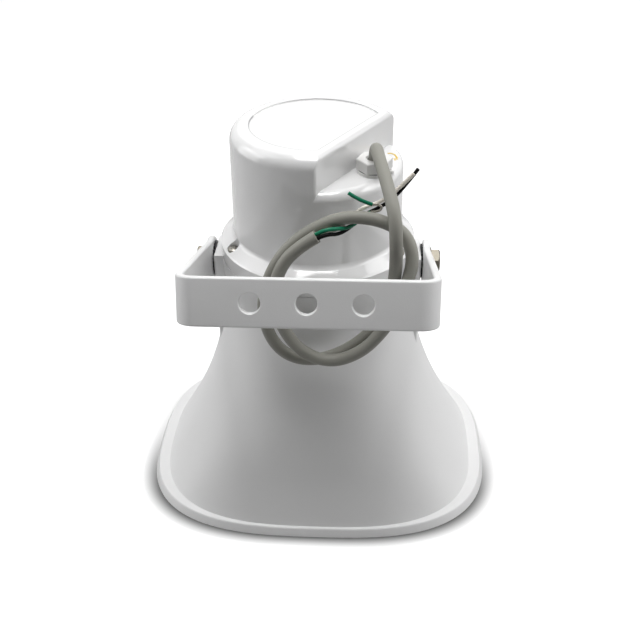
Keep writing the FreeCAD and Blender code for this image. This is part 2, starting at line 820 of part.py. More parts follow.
def corner_plan(corner):
    """The tower's D-shaped plan with the chord's two upright corners rounded."""
    low = ledge_z - 2 * ledge_round
    radius = cover_radius(ledge_z, 0.0)
    across = chord_distance - corner
    along = math.sqrt((radius - corner) ** 2 - across ** 2)
    spread = math.atan2(along, across)
    edges = []
    ends = []
    for side in (-1, 1):
        on_chord = V(chord_distance, side * along, low)
        middle = V(across + corner * math.cos(spread / 2), side * (along + corner * math.sin(spread / 2)),
                   low)
        on_wall = V(radius * math.cos(spread), side * radius * math.sin(spread), low)
        edges.append(Part.Arc(on_chord, middle, on_wall).toShape())
        ends.append((on_chord, on_wall))
    edges.append(Part.makeLine(ends[0][0], ends[1][0]))
    edges.append(Part.Arc(ends[0][1], V(-radius, 0, low), ends[1][1]).toShape())
    plan = Part.Face(Part.Wire(Part.__sortEdges__(edges)))
    return across_chord(plan.extrude(V(0, 0, cover_top_z + 1.0 - low)))


def cover_form(inset, z_low):
    """The cover above its flange: a D-shaped tower with a lower round ledge beside it."""
    tower = round_body(z_low, cover_top_z - inset, cover_top_round - inset, inset)
    tower = tower.common(chord_side(z_low - 1.0, cover_top_z - inset, chord_distance - inset,
                                    chord_top_round))
    if inset < chord_corner_round:
        tower = tower.common(corner_plan(chord_corner_round - inset))
    shoulder = round_body(z_low, ledge_z - inset, cavity_ledge_round if inset else ledge_round, inset)
    return tower.fuse(shoulder).removeSplitter()


def driver_cover():
    body = cover_form(0.0, seam_z)
    flange_edge = cover_flange_edge
    foot = cover_foot_round
    toe = V(cover_base_radius + foot, 0, cover_cone_top_z - foot * (cover_cone_top_z - cover_flange_top_z)
            / (flange_radius - flange_edge - cover_base_radius))
    heel = V(cover_radius(cover_cone_top_z + foot, 0.0) - face_clearance, 0, cover_cone_top_z + foot)
    hollow = V(cover_base_radius + foot / 4, 0, cover_cone_top_z)
    rim_points = [V(0, 0, seam_z), V(flange_radius, 0, seam_z),
                  V(flange_radius, 0, cover_flange_top_z - flange_edge),
                  V(flange_radius - flange_edge, 0, cover_flange_top_z), toe]
    edges = [Part.makeLine(a, b) for a, b in zip(rim_points, rim_points[1:])]
    edges.append(Part.Arc(toe, hollow, heel).toShape())
    edges.append(Part.makeLine(heel, V(0, 0, heel.z)))
    edges.append(Part.makeLine(V(0, 0, heel.z), rim_points[0]))
    flange = spun(edges)
    cavity = cover_form(cover_wall, seam_z - 1.0)
    mouth = disc(cover_cavity_radius, seam_z - 1.0, cover_cone_top_z - cover_wall)
    cover = body.fuse(flange).removeSplitter().cut(cavity).cut(mouth)
    recess = disc(recess_radius, cover_top_z - recess_depth, cover_top_z + 1.0).common(
        chord_side(cover_top_z - 2.0, cover_top_z + 2.0, recess_chord, 0.5))
    cuts = [recess]
    for x, y in cover_screw_places():
        cuts.append(disc(cover_screw_pocket_radius, cover_screw_pocket_z, cover_screw_pocket_top, x, y))
        cuts.append(disc(cover_screw_radius + screw_hole_clearance, seam_z - 1.0,
                         cover_screw_pocket_z + 1.0, x, y))
    gx, gy = gland_centre()
    cuts.append(disc(gland_tube_radius + screw_hole_clearance, ledge_under_z - 1.0, ledge_z + 1.0, gx, gy))
    return cover.cut(Part.makeCompound(cuts))


def cover_gasket():
    return ring(gasket_inner_radius, gasket_outer_radius, seam_z - gasket_groove_depth, seam_z)


def cover_screws():
    length = cover_screw_pocket_z - seam_z + cover_screw_depth - 1.0
    screws = []
    for number, (x, y) in enumerate(cover_screw_places()):
        screw = pan_screw(cover_screw_radius - thread_clearance, length, cover_screw_head_radius,
                          cover_screw_head_height)
        screw = screw.rotate(V(0, 0, 0), UP, 25 + 40 * number)
        screws.append(screw.translate(V(x, y, cover_screw_pocket_z)))
    return Part.makeCompound(screws)


def gland_centre():
    a = math.radians(chord_angle)
    return gland_distance * math.cos(a), gland_distance * math.sin(a)


def gland_body():
    gx, gy = gland_centre()
    low = ledge_under_z - gland_tube_depth
    tube = disc(gland_tube_radius, low, gland_nut_top_z - 1.0, gx, gy)
    collar = disc(gland_collar_radius, ledge_z, gland_collar_top_z, gx, gy)
    body = tube.fuse(collar).removeSplitter()
    return body.cut(disc(gland_bore_radius, low - 1.0, gland_nut_top_z + 1.0, gx, gy))


def gland_seal():
    gx, gy = gland_centre()
    return ring(gland_tube_radius + thread_clearance, gland_seal_radius, gland_collar_top_z,
                gland_nut_z, gx, gy)


def gland_nut():
    gx, gy = gland_centre()
    nut = rounded_hex(gland_nut_across_flats, gland_nut_height, gland_nut_turn, gland_nut_edge)
    nut = nut.cut(disc(gland_tube_radius + thread_clearance, -1.0, gland_nut_height - 1.0))
    nut = nut.cut(disc(gland_bore_radius + 0.6, -1.0, gland_nut_height + 1.0))
    return nut.translate(V(gx, gy, gland_nut_z))


def gland_grommet():
    gx, gy = gland_centre()
    return ring(cable_radius + fit_clearance, gland_bore_radius - fit_clearance, gland_nut_z,
                gland_nut_top_z - grommet_depth, gx, gy)


def gland_lock_nut():
    gx, gy = gland_centre()
    nut = hex_prism(lock_nut_across_flats, lock_nut_height, chord_angle + 30.0)
    nut = nut.cut(disc(gland_tube_radius + thread_clearance, -1.0, lock_nut_height + 1.0))
    return nut.translate(V(gx, gy, ledge_under_z - lock_nut_height))


def bracket_profile(z_low, z_high):
    """The bent bar seen along its width: x across, y along the arms away from the pivot."""
    inner_x = bracket_half_width - bracket_steel
    bend = bracket_half_width - bracket_bend_radius
    start = -bracket_width / 2
    along = bracket_reach - bracket_bend_radius
    knee = math.sqrt(0.5) * bracket_bend_radius
    inner_bend = bracket_bend_radius - bracket_steel
    inner_knee = math.sqrt(0.5) * inner_bend
    inner_reach = bracket_reach - bracket_steel

    def side(s):
        return [
            V(s * ear_outer_x, start, z_low), V(s * ear_outer_x, bracket_ear_flat, z_low),
            V(s * bracket_half_width, along, z_low),
            V(s * (bend + knee), along + knee, z_low), V(s * bend, bracket_reach, z_low),
            V(s * bend, inner_reach, z_low), V(s * (bend + inner_knee), along + inner_knee, z_low),
            V(s * inner_x, along, z_low), V(s * bracket_ear_inner_x, bracket_ear_flat, z_low),
            V(s * bracket_ear_inner_x, start, z_low)]

    r, l = side(1), side(-1)
    edges = []
    for p in (r, l):
        edges += [Part.makeLine(p[0], p[1]), Part.makeLine(p[1], p[2]), Part.Arc(p[2], p[3], p[4]).toShape(),
                  Part.Arc(p[5], p[6], p[7]).toShape(), Part.makeLine(p[7], p[8]),
                  Part.makeLine(p[8], p[9]), Part.makeLine(p[9], p[0])]
    edges += [Part.makeLine(r[4], l[4]), Part.makeLine(r[5], l[5])]
    wire = Part.Wire(Part.__sortEdges__(edges))
    return Part.Face(wire).extrude(V(0, 0, z_high - z_low))


def tilted(shape):
    """Takes the bracket from lying flat along +Y to its place: out to the front, tilted up."""
    shape = shape.rotate(V(0, 0, 0), UP, 180)
    shape = shape.rotate(V(0, 0, 0), X_AXIS, -bracket_tilt)
    return shape.translate(V(0, 0, pivot_z))


def bracket():
    half = bracket_width / 2
    bar = bracket_profile(-half, half)
    ear_round = rod_x(half, -2 * bracket_half_width, 2 * bracket_half_width)
    ahead = block(-2 * bracket_half_width, 2 * bracket_half_width, 0, 2 * bracket_reach, -half, half)
    bar = bar.common(ear_round.fuse(ahead))
    rim = [e for e in bar.Edges if abs(abs(e.BoundBox.ZMin) - half) < 0.001
           and abs(e.BoundBox.ZMax - e.BoundBox.ZMin) < 0.001]
    bar = bar.makeFillet(bracket_edge, rim)
    cuts = [rod_x(bolt_radius + pivot_clearance, -2 * bracket_half_width, 2 * bracket_half_width)]
    for i in (-1, 0, 1):
        hole_x = i * strap_hole_pitch
        cuts.append(Part.makeCylinder(strap_hole_radius, 4 * bracket_steel,
                                      V(hole_x, bracket_reach - 3 * bracket_steel, 0), V(0, 1, 0)))
        for face_y, way in ((bracket_reach, -1), (bracket_reach - bracket_steel, 1)):
            cuts.append(Part.makeCone(strap_hole_radius + strap_hole_edge, strap_hole_radius,
                                      strap_hole_edge, V(hole_x, face_y, 0), V(0, way, 0)))
    return tilted(bar.cut(Part.makeCompound(cuts)))


def both_sides(piece):
    """A piece on +X and its mirror image on -X."""
    return Part.makeCompound([piece, piece.mirror(V(0, 0, 0), X_AXIS)])


def laid_on_pivot(shape, x):
    """Turns a piece from standing on z = 0 to lying along +X from x, on the pivot."""
    return shape.rotate(V(0, 0, 0), V(0, 1, 0), 90).translate(V(x, 0, pivot_z))


def pivot_bolts():
    seat = ear_outer_x + face_clearance + flat_washer_thickness
    head = rounded_hex(bolt_head_across_flats, bolt_head_height, 0.0, 0.6)
    shank_start = boss_face_x - bolt_length_in_insert
    shank = disc(bolt_radius, shank_start - seat, 0.0)
    return both_sides(laid_on_pivot(head.fuse(shank), seat))


def pivot_flat_washers():
    washer = ring(bolt_radius + thread_clearance, flat_washer_radius, 0.0, flat_washer_thickness)
    return both_sides(laid_on_pivot(washer, ear_outer_x + face_clearance))


def tooth_washers():
    """Thin washers with a ring of teeth, between the bosses and the bracket's ears."""
    thickness = bracket_ear_inner_x - face_clearance - boss_face_x
    corners = []
    for i in range(2 * tooth_count):
        radius = tooth_washer_radius if i % 2 else tooth_washer_root_radius
        a = math.pi * i / tooth_count
        corners.append(V(radius * math.cos(a), radius * math.sin(a), 0))
    star = Part.Face(Part.makePolygon(corners + corners[:1])).extrude(V(0, 0, thickness))
    washer = star.cut(disc(tooth_washer_hole_radius, -1.0, thickness + 1.0))
    return both_sides(laid_on_pivot(washer, boss_face_x))


def pivot_inserts():
    sleeve = ring(bolt_radius + thread_clearance, insert_radius, 0.0, insert_length)
    return both_sides(laid_on_pivot(sleeve, boss_face_x - insert_length))


def cord(name, points, radius):
    """A tube along straight runs joined by arcs as large as the runs allow."""
    places = [V(*p) for p in points]
    edges = []
    radii = []
    start = places[0]
    for before, corner, after in zip(places, places[1:], places[2:]):
        back = (before - corner).normalize()
        ahead = (after - corner).normalize()
        turn = math.pi - back.getAngle(ahead)
        shorter = min((before - corner).Length, (after - corner).Length)
        reach = arc_share * shorter
        arc_radius = reach / math.tan(turn / 2)
        enter = corner + back * reach
        leave = corner + ahead * reach
        sag = arc_radius / math.cos(turn / 2) - arc_radius
        middle = corner + (back + ahead).normalize() * sag
        edges.append(Part.makeLine(start, enter))
        edges.append(Part.Arc(enter, middle, leave).toShape())
        radii.append(round(arc_radius, 1))
        start = leave
    edges.append(Part.makeLine(start, places[-1]))
    path = Part.Wire(edges)
    first = (places[1] - places[0]).normalize()
    section = Part.Wire([Part.Circle(places[0], first, radius).toShape()])
    tube = path.makePipeShell([section], True, False)
    expected = math.pi * radius ** 2 * path.Length
    print(name, "length", round(path.Length, 1), "volume/expected", round(tube.Volume / expected, 4),
          "smallest arc", min(radii) if radii else None, "arcs", radii)
    return tube


def main():
    export("horn_bell", bell_finished())
    export("tone_arm", tone_arm())
    export("reflector", reflector())
    export("reflector_screws", reflector_screws())
    export("driver_gasket", ring(throat_radius + 2.0, driver_screw_circle - driver_screw_head_radius,
                                 driver_gasket_z, driver_plate_z))
    export("driver_plate", driver_plate())
    export("phase_plug", phase_plug())
    export("diaphragm", diaphragm())
    export("voice_coil", voice_coil())
    export("suspension_ring", suspension_ring())
    export("top_plate", ring(coil_radius + coil_thickness + coil_gap, top_plate_radius, top_plate_z,
                             magnet_z))
    export("magnet", ring(magnet_inner_radius, magnet_radius, magnet_z, back_plate_z))
    export("back_plate", back_plate_drilled())
    export("driver_screws", driver_screws())
    export("transformer_core", transformer_core())
    export("transformer_winding", transformer_winding())
    export("transformer_strap", transformer_strap())
    export("transformer_screws", transformer_screws())
    export("terminal_board", terminal_board())
    export("driver_cover", driver_cover())
    export("cover_gasket", cover_gasket())
    export("cover_screws", cover_screws())
    export("gland_body", gland_body())
    export("gland_seal", gland_seal())
    export("gland_nut", gland_nut())
    export("gland_grommet", gland_grommet())
    export("gland_lock_nut", gland_lock_nut())
    export("bracket", bracket())
    export("pivot_bolts", pivot_bolts())
    export("pivot_flat_washers", pivot_flat_washers())
    export("tooth_washers", tooth_washers())
    export("pivot_inserts", pivot_inserts())
    export("cable", cord("cable", cable_points, cable_radius))
    export("wire_white", cord("wire_white", white_points, wire_radius))
    export("wire_black", cord("wire_black", black_points, wire_radius))
    export("wire_green", cord("wire_green", green_points, wire_radius))
    export("wire_green_strands", cord("wire_green_strands", green_strand_points, strand_radius))
    export("wire_green_end", cord("wire_green_end", green_end_points, wire_radius))


main()
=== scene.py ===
import math

import bmesh
import bpy
from mathutils import Matrix, Vector


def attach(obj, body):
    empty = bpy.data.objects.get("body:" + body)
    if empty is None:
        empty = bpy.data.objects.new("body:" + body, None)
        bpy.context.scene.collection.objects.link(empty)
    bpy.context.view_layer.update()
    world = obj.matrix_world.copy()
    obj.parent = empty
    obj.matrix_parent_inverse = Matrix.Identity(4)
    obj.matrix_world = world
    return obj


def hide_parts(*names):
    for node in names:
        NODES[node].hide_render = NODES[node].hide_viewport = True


bl_info = {
    "name": "Horn speaker looks",
    "version": (1, 0, 0),
    "blender": (4, 5, 0),
    "location": "3D View > Sidebar > Speaker",
    "description": "Dresses the weatherproof horn speaker: finishes, cable, wires and a plain studio",
    "category": "Object",
}

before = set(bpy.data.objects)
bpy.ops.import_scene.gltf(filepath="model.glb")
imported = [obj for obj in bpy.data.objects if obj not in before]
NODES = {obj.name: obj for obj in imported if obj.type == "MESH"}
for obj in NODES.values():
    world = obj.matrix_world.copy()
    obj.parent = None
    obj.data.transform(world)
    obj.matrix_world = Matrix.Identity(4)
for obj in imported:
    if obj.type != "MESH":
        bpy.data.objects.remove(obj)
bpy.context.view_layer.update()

# The photograph's view, in the object's own frame
CAMERA_AT = (0.02863, -0.48352, 0.42393)
CAMERA_DOWN = math.radians(33.754)
CAMERA_TURN = math.radians(3.3046)
CAMERA_ROLL = math.radians(-0.6188)
CAMERA_LENS = 52.35
CAMERA_SENSOR = 36.0

# The cords' routes, from the object outwards
CABLE_ROUTE = [
    (0.03205, -0.01888, 0.206),
    (0.03205, -0.01888, 0.2275),
    (0.0345, -0.038, 0.226),
    (0.039, -0.058, 0.22),
    (0.0428, -0.073, 0.2105),
    (0.0438, -0.0775, 0.1935),
    (0.0438, -0.0725, 0.1755),
    (0.0415, -0.069, 0.1575),
    (0.0345, -0.068, 0.141),
    (0.021, -0.067, 0.1265),
    (0.004, -0.066, 0.1175),
    (-0.0125, -0.0655, 0.1185),
    (-0.0235, -0.065, 0.131),
    (-0.027, -0.0645, 0.152),
    (-0.022, -0.0635, 0.1715),
    (-0.0125, -0.0625, 0.1865),
    (0.001, -0.062, 0.198),
    (0.0175, -0.062, 0.2055),
    (0.035, -0.063, 0.2045),
    (0.048, -0.066, 0.199),
    (0.053, -0.072, 0.188),
    (0.0498, -0.077, 0.1745),
    (0.045, -0.0785, 0.16),
    (0.0375, -0.0775, 0.1445),
    (0.0265, -0.0765, 0.1305),
    (0.0105, -0.0755, 0.123),
    (-0.0055, -0.074, 0.1285),
    (-0.0155, -0.0725, 0.143),
    (-0.0195, -0.0715, 0.16),
    (-0.017, -0.0705, 0.177),
    (-0.008, -0.07, 0.19),
    (0.0035, -0.0695, 0.1975),
]
WHITE_ROUTE = [
    (0.0038, -0.0684, 0.1969),
    (0.0084, -0.0676, 0.1993),
    (0.014, -0.0628, 0.198),
    (0.02, -0.0566, 0.2016),
    (0.0265, -0.053, 0.2062),
    (0.035, -0.0506, 0.2076),
    (0.043, -0.0486, 0.2128),
    (0.052, -0.0472, 0.2226),
]
BLACK_ROUTE = [
    (0.0039, -0.0706, 0.197),
    (0.0085, -0.0702, 0.1992),
    (0.0145, -0.066, 0.197),
    (0.0205, -0.059, 0.1976),
    (0.027, -0.0526, 0.2016),
    (0.0355, -0.049, 0.2042),
    (0.0446, -0.0466, 0.2102),
    (0.0543, -0.0449, 0.2242),
]
GREEN_ROUTE = [
    (0.0028, -0.0695, 0.1986),
    (0.0074, -0.0693, 0.2012),
    (0.0128, -0.0676, 0.201),
    (0.0185, -0.0634, 0.1992),
    (0.0245, -0.0584, 0.2006),
    (0.0305, -0.0552, 0.2046),
]
GREEN_STRAND_ROUTE = [
    (0.0305, -0.0552, 0.2046),
    (0.0344, -0.0546, 0.2044),
    (0.0365, -0.0548, 0.2069),
    (0.0346, -0.0556, 0.2091),
    (0.0312, -0.056, 0.2093),
]
GREEN_END_ROUTE = [
    (0.0312, -0.056, 0.2093),
    (0.025, -0.0563, 0.2113),
    (0.019, -0.0555, 0.2153),
]
STRAND_COUNT = 6
STRAND_CORNERS = 8
STRAND_RADIUS = 0.00023
STRAND_LAY = 0.006
STRAND_LAY_RADIUS = 0.0004

# Steps of the meshes that are made or reshaped here
RING_CORNERS = 48
MERGE_DISTANCE = 0.000001
CUT_TOLERANCE = 0.0000001

# The bracket's own frame: along its arms from the pivot, and up across its width
PIVOT_Z = 0.1445
BRACKET_TILT = math.radians(18.0)
ALONG = Vector((0.0, -math.cos(BRACKET_TILT), math.sin(BRACKET_TILT)))
ACROSS = Vector((0.0, math.sin(BRACKET_TILT), math.cos(BRACKET_TILT)))
CAD_STEEL = 0.003
EXTRA_STEEL = 0.001
EAR_OUTER_X = 0.065
ARM_OUTER_X = 0.0662
ARM_START = 0.016
BEND_RADIUS = 0.0105
BRACKET_REACH = 0.108
BRACKET_HALF = 0.01275
BRACKET_EDGE = BRACKET_HALF * 0.6

# Each arm's notch: how far along it lies, and the half width that it leaves
NOTCH_LEFT = (0.0061, 0.0112)
NOTCH_RIGHT = (0.0087, 0.0093)
NOTCH_STEP = 0.0001

# Where the arms get new edges, so that they can take the notches and the taper
BRACKET_CUTS = (0.003, NOTCH_LEFT[0], NOTCH_RIGHT[0], 0.04, 0.07)

# Pivot washers
WASHER_MIDDLE_X = EAR_OUTER_X + 0.0007
WASHER_THINNER = 0.0004

# Cable gland
GLAND_AT = (0.03205, -0.01888)
LEDGE_Z = 0.2105
COLLAR_RADIUS = 0.0093
COLLAR_HEIGHT = 0.0015
CAD_COLLAR_RADIUS = 0.0104
CAD_COLLAR_HEIGHT = 0.0019
COLLAR_INNER_RADIUS = 0.0065
COLLAR_TOP_TOLERANCE = 0.0002
LUG_RADIUS = 0.0016
LUG_TAPER = 0.86
LUG_CORNERS = 24
LUG_ANGLE = math.radians(-10.0)
SEAL_RADIUS = 0.0086
SEAL_BORE = 0.00605
SEAL_GAP = 0.0005
NUT_ACROSS_FLATS = 0.0172
NUT_HEIGHT = 0.006
NUT_TURN = math.radians(7.0)
NUT_EDGE = 0.00045
NUT_BORE = 0.0045

# Painted shade: a thin dark line painted along the edge of the recess on the cover's top, for the shade
# at that edge; its round part is painted only in front of the y limit below
CHORD_ANGLE = math.radians(-30.5)
RECESS_RADIUS = 0.0373
RECESS_CHORD = 0.0211
RECESS_PAINTED_LOWEST_Z = 0.2291
RECESS_PAINTED_BACK_Y = 0.01
RECESS_PAINTED_HALF_WIDTH = 0.0003
RECESS_PAINTED_SHADE = 0.55

# Turn mark on the ledge
LEDGE_FLAT_RADIUS = 0.0436
LEDGE_ROUND = 0.005
MARK_ROUTE = [
    (0.03947, 0.00529),
    (0.04116, 0.00562),
    (0.04338, 0.00376),
    (0.04471, -0.00003),
    (0.04331, -0.00426),
]
MARK_STEPS = 4
MARK_WIDTH = 0.0012
MARK_HEAD_WIDTH = 0.0036
MARK_HEAD_LENGTH = 0.0032
MARK_TIP_WIDTH = 0.0001
MARK_HALF_THICKNESS = 0.00006

# Scale of the coarse part of a surface's grain, as a share of the fine part's
COARSE_TO_FINE = 0.12

# Lamps, each with its name, place, size, power and colour, and the world
LAMPS = [
    ("top_softbox", (0.0, -0.1, 1.3), (0.6, 0.6), 9.2, (1.0, 1.0, 1.0)),
    ("back_softbox", (0.0, 0.7, 1.1), (1.5, 1.0), 3.8, (1.0, 1.0, 1.0)),
    ("left_softbox", (-1.25, 0.1, 0.5), (0.9, 1.0), 4.6, (1.0, 1.0, 1.0)),
    ("right_softbox", (1.25, 0.1, 0.5), (0.9, 1.0), 3.4, (1.0, 1.0, 1.0)),
    ("left_high_softbox", (-1.0, 0.0, 1.0), (0.8, 0.8), 2.7, (1.0, 1.0, 1.0)),
    ("right_high_softbox", (1.0, 0.0, 1.0), (0.8, 0.8), 6.0, (1.0, 1.0, 1.0)),
]
LAMP_TARGET = (0.0, 0.0, 0.12)
WORLD_LIGHT = 0.02
DARK_SIDE_RAMP = (-0.75, 0.0, 0.15, 1.0)

# The floor glows white away from the mouth and has a painted shadow close round it, where its glow and
# its colour both drop. A ramp holds its start, its end and its level at both. The front ramp runs along
# y and makes the painted shadow weaker toward the back; the other two run outwards from the rim, where 1
# is the mouth's outline.
MOUTH_HALF_WIDTH = 0.109
MOUTH_HALF_DEPTH = 0.0875
MOUTH_POWER = 2.9
FLOOR_COLOUR = (0.5, 0.5, 0.5)
FLOOR_GLOSS = 0.3
GLOW_AND_PAINTED_SHADOW_RAMP = (0.975, 1.135, 0.0, 0.78)
PAINTED_SHADOW_RAMP = (0.975, 1.11, 0.15, 1.0)
PAINTED_SHADOW_FRONT_RAMP = (-0.06, 0.03, 1.0, 0.3)
FLOOR_Z = -0.0002


class HornColours(bpy.types.PropertyGroup):
    bell: bpy.props.FloatVectorProperty(
        name="Bell", description="Satin white of the moulded bell", subtype="COLOR", size=3,
        default=(0.80, 0.80, 0.80), min=0.0, max=1.0)
    cover: bpy.props.FloatVectorProperty(
        name="Cover", description="Glossy white of the rear cover", subtype="COLOR", size=3,
        default=(0.80, 0.80, 0.80), min=0.0, max=1.0)
    bracket: bpy.props.FloatVectorProperty(
        name="Bracket", description="White powder coat of the bracket", subtype="COLOR", size=3,
        default=(0.80, 0.80, 0.80), min=0.0, max=1.0)
    cable: bpy.props.FloatVectorProperty(
        name="Cable", description="Grey of the cable's jacket", subtype="COLOR", size=3,
        default=(0.265, 0.262, 0.232), min=0.0, max=1.0)
    green: bpy.props.FloatVectorProperty(
        name="Green wire", description="Insulation of the earth wire", subtype="COLOR", size=3,
        default=(0.0, 0.17, 0.085), min=0.0, max=1.0)


class HornSizes(bpy.types.PropertyGroup):
    cable_diameter: bpy.props.FloatProperty(
        name="Cable diameter", description="Outer diameter of the jacketed cable", unit="LENGTH",
        default=0.0068, min=0.003, max=0.012)
    wire_diameter: bpy.props.FloatProperty(
        name="Wire diameter", description="Outer diameter of one insulated wire", unit="LENGTH",
        default=0.002, min=0.001, max=0.004)
    floor_size: bpy.props.FloatProperty(
        name="Floor size", description="Side of the square floor", unit="LENGTH",
        default=2.6, min=1.0, max=40.0)


def plain_group(name, inputs, outputs):
    """An empty shader node group with named inputs and outputs."""
    group = bpy.data.node_groups.new(name, "ShaderNodeTree")
    for label, kind, value in inputs:
        socket = group.interface.new_socket(label, in_out="INPUT", socket_type=kind)
        if value is not None:
            socket.default_value = value
    for label, kind in outputs:
        group.interface.new_socket(label, in_out="OUTPUT", socket_type=kind)
    return group, group.nodes.new("NodeGroupInput"), group.nodes.new("NodeGroupOutput")


def feed(tree, value, socket):
    """Links another node's output to a socket, or sets the socket to a plain value."""
    if hasattr(value, "is_linked"):
        tree.links.new(value, socket)
    else:
        socket.default_value = value


def noise(tree, vector, scale, detail):
    node = tree.nodes.new("ShaderNodeTexNoise")
    feed(tree, vector, node.inputs["Vector"])
    feed(tree, scale, node.inputs["Scale"])
    feed(tree, detail, node.inputs["Detail"])
    return node.outputs["Fac"]


def math_node(tree, operation, first, second=0.0):
    node = tree.nodes.new("ShaderNodeMath")
    node.operation = operation
    feed(tree, first, node.inputs[0])
    feed(tree, second, node.inputs[1])
    return node.outputs[0]


def scaled_colour(tree, colour, level):
    node = tree.nodes.new("ShaderNodeVectorMath")
    node.operation = "SCALE"
    feed(tree, colour, node.inputs[0])
    feed(tree, level, node.inputs["Scale"])
    return node.outputs[0]


def object_place(tree):
    """The x, y and z of the shaded point in the object's own frame."""
    place = tree.nodes.new("ShaderNodeTexCoord")
    split = tree.nodes.new("ShaderNodeSeparateXYZ")
    tree.links.new(place.outputs["Object"], split.inputs[0])
    return split.outputs


def grain_group():
    """Fine moulded or sprayed grain: a height made of a coarse and a fine noise."""
    group, given, made = plain_group(
        "surface_grain",
        [("Vector", "NodeSocketVector", None), ("Scale", "NodeSocketFloat", 900.0),
         ("Coarse Share", "NodeSocketFloat", 0.3)],
        [("Height", "NodeSocketFloat")])
    fine = noise(group, given.outputs["Vector"], given.outputs["Scale"], detail=2.0)
    slow = math_node(group, "MULTIPLY", given.outputs["Scale"], COARSE_TO_FINE)
    coarse = noise(group, given.outputs["Vector"], slow, detail=2.0)
    share = math_node(group, "MULTIPLY", coarse, given.outputs["Coarse Share"])
    group.links.new(math_node(group, "ADD", fine, share), made.inputs["Height"])
    return group


def drift_group():
    """Slow drift of a colour and a value over the surface, as handled and moulded parts show."""
    group, given, made = plain_group(
        "soft_drift",
        [("Vector", "NodeSocketVector", None), ("Scale", "NodeSocketFloat", 20.0),
         ("Color", "NodeSocketColor", (0.8, 0.8, 0.8, 1.0)), ("Colour Change", "NodeSocketFloat", 0.04),
         ("Roughness", "NodeSocketFloat", 0.4), ("Roughness Change", "NodeSocketFloat", 0.08)],
        [("Color", "NodeSocketColor"), ("Roughness", "NodeSocketFloat")])
    patch = noise(group, given.outputs["Vector"], given.outputs["Scale"], detail=3.0)
    centred = math_node(group, "SUBTRACT", patch, 0.5)
    swing = math_node(group, "MULTIPLY", centred, given.outputs["Colour Change"])
    level = math_node(group, "ADD", swing, 1.0)
    tint = scaled_colour(group, given.outputs["Color"], level)
    group.links.new(tint, made.inputs["Color"])
    rough = math_node(group, "MULTIPLY", centred, given.outputs["Roughness Change"])
    group.links.new(math_node(group, "ADD", rough, given.outputs["Roughness"]), made.inputs["Roughness"])
    return group


def shared_group(name):
    makers = {"surface_grain": grain_group, "soft_drift": drift_group}
    return bpy.data.node_groups.get(name) or makers[name]()


def finish_material(name, colour, roughness, metallic=0.0, grain_scale=900.0, grain_depth=0.00002,
                    coarse=0.3, drift_scale=20.0, colour_change=0.04, roughness_change=0.08,
                    coat=0.0, coat_roughness=0.05, specular=0.5, stretch=(1.0, 1.0, 1.0)):
    """A surface with its own grain, slow colour drift and uneven roughness."""
    label = "look_" + name
    material = bpy.data.materials.get(label)
    if material:
        return material
    material = bpy.data.materials.new(label)
    material.use_nodes = True
    tree = material.node_tree
    shader = tree.nodes["Principled BSDF"]
    place = tree.nodes.new("ShaderNodeTexCoord")
    mapping = tree.nodes.new("ShaderNodeMapping")
    mapping.inputs["Scale"].default_value = stretch
    tree.links.new(place.outputs["Object"], mapping.inputs["Vector"])
    drift = tree.nodes.new("ShaderNodeGroup")
    drift.node_tree = shared_group("soft_drift")
    drift.inputs["Scale"].default_value = drift_scale
    drift.inputs["Color"].default_value = (*colour, 1.0)
    drift.inputs["Colour Change"].default_value = colour_change
    drift.inputs["Roughness"].default_value = roughness
    drift.inputs["Roughness Change"].default_value = roughness_change
    grain = tree.nodes.new("ShaderNodeGroup")
    grain.node_tree = shared_group("surface_grain")
    grain.inputs["Scale"].default_value = grain_scale
    grain.inputs["Coarse Share"].default_value = coarse
    for node in (drift, grain):
        tree.links.new(mapping.outputs["Vector"], node.inputs["Vector"])
    bump = tree.nodes.new("ShaderNodeBump")
    bump.inputs["Distance"].default_value = grain_depth
    tree.links.new(grain.outputs["Height"], bump.inputs["Height"])
    tree.links.new(bump.outputs["Normal"], shader.inputs["Normal"])
    tree.links.new(drift.outputs["Color"], shader.inputs["Base Color"])
    tree.links.new(drift.outputs["Roughness"], shader.inputs["Roughness"])
    shader.inputs["Metallic"].default_value = metallic
    shader.inputs["Specular IOR Level"].default_value = specular
    shader.inputs["Coat Weight"].default_value = coat
    shader.inputs["Coat Roughness"].default_value = coat_roughness
    return material


def bell_plastic():
    return finish_material("bell_plastic", tuple(bpy.context.scene.horn_colours.bell), 0.36,
                           grain_scale=2600.0, grain_depth=0.00003, drift_scale=9.0, colour_change=0.03)


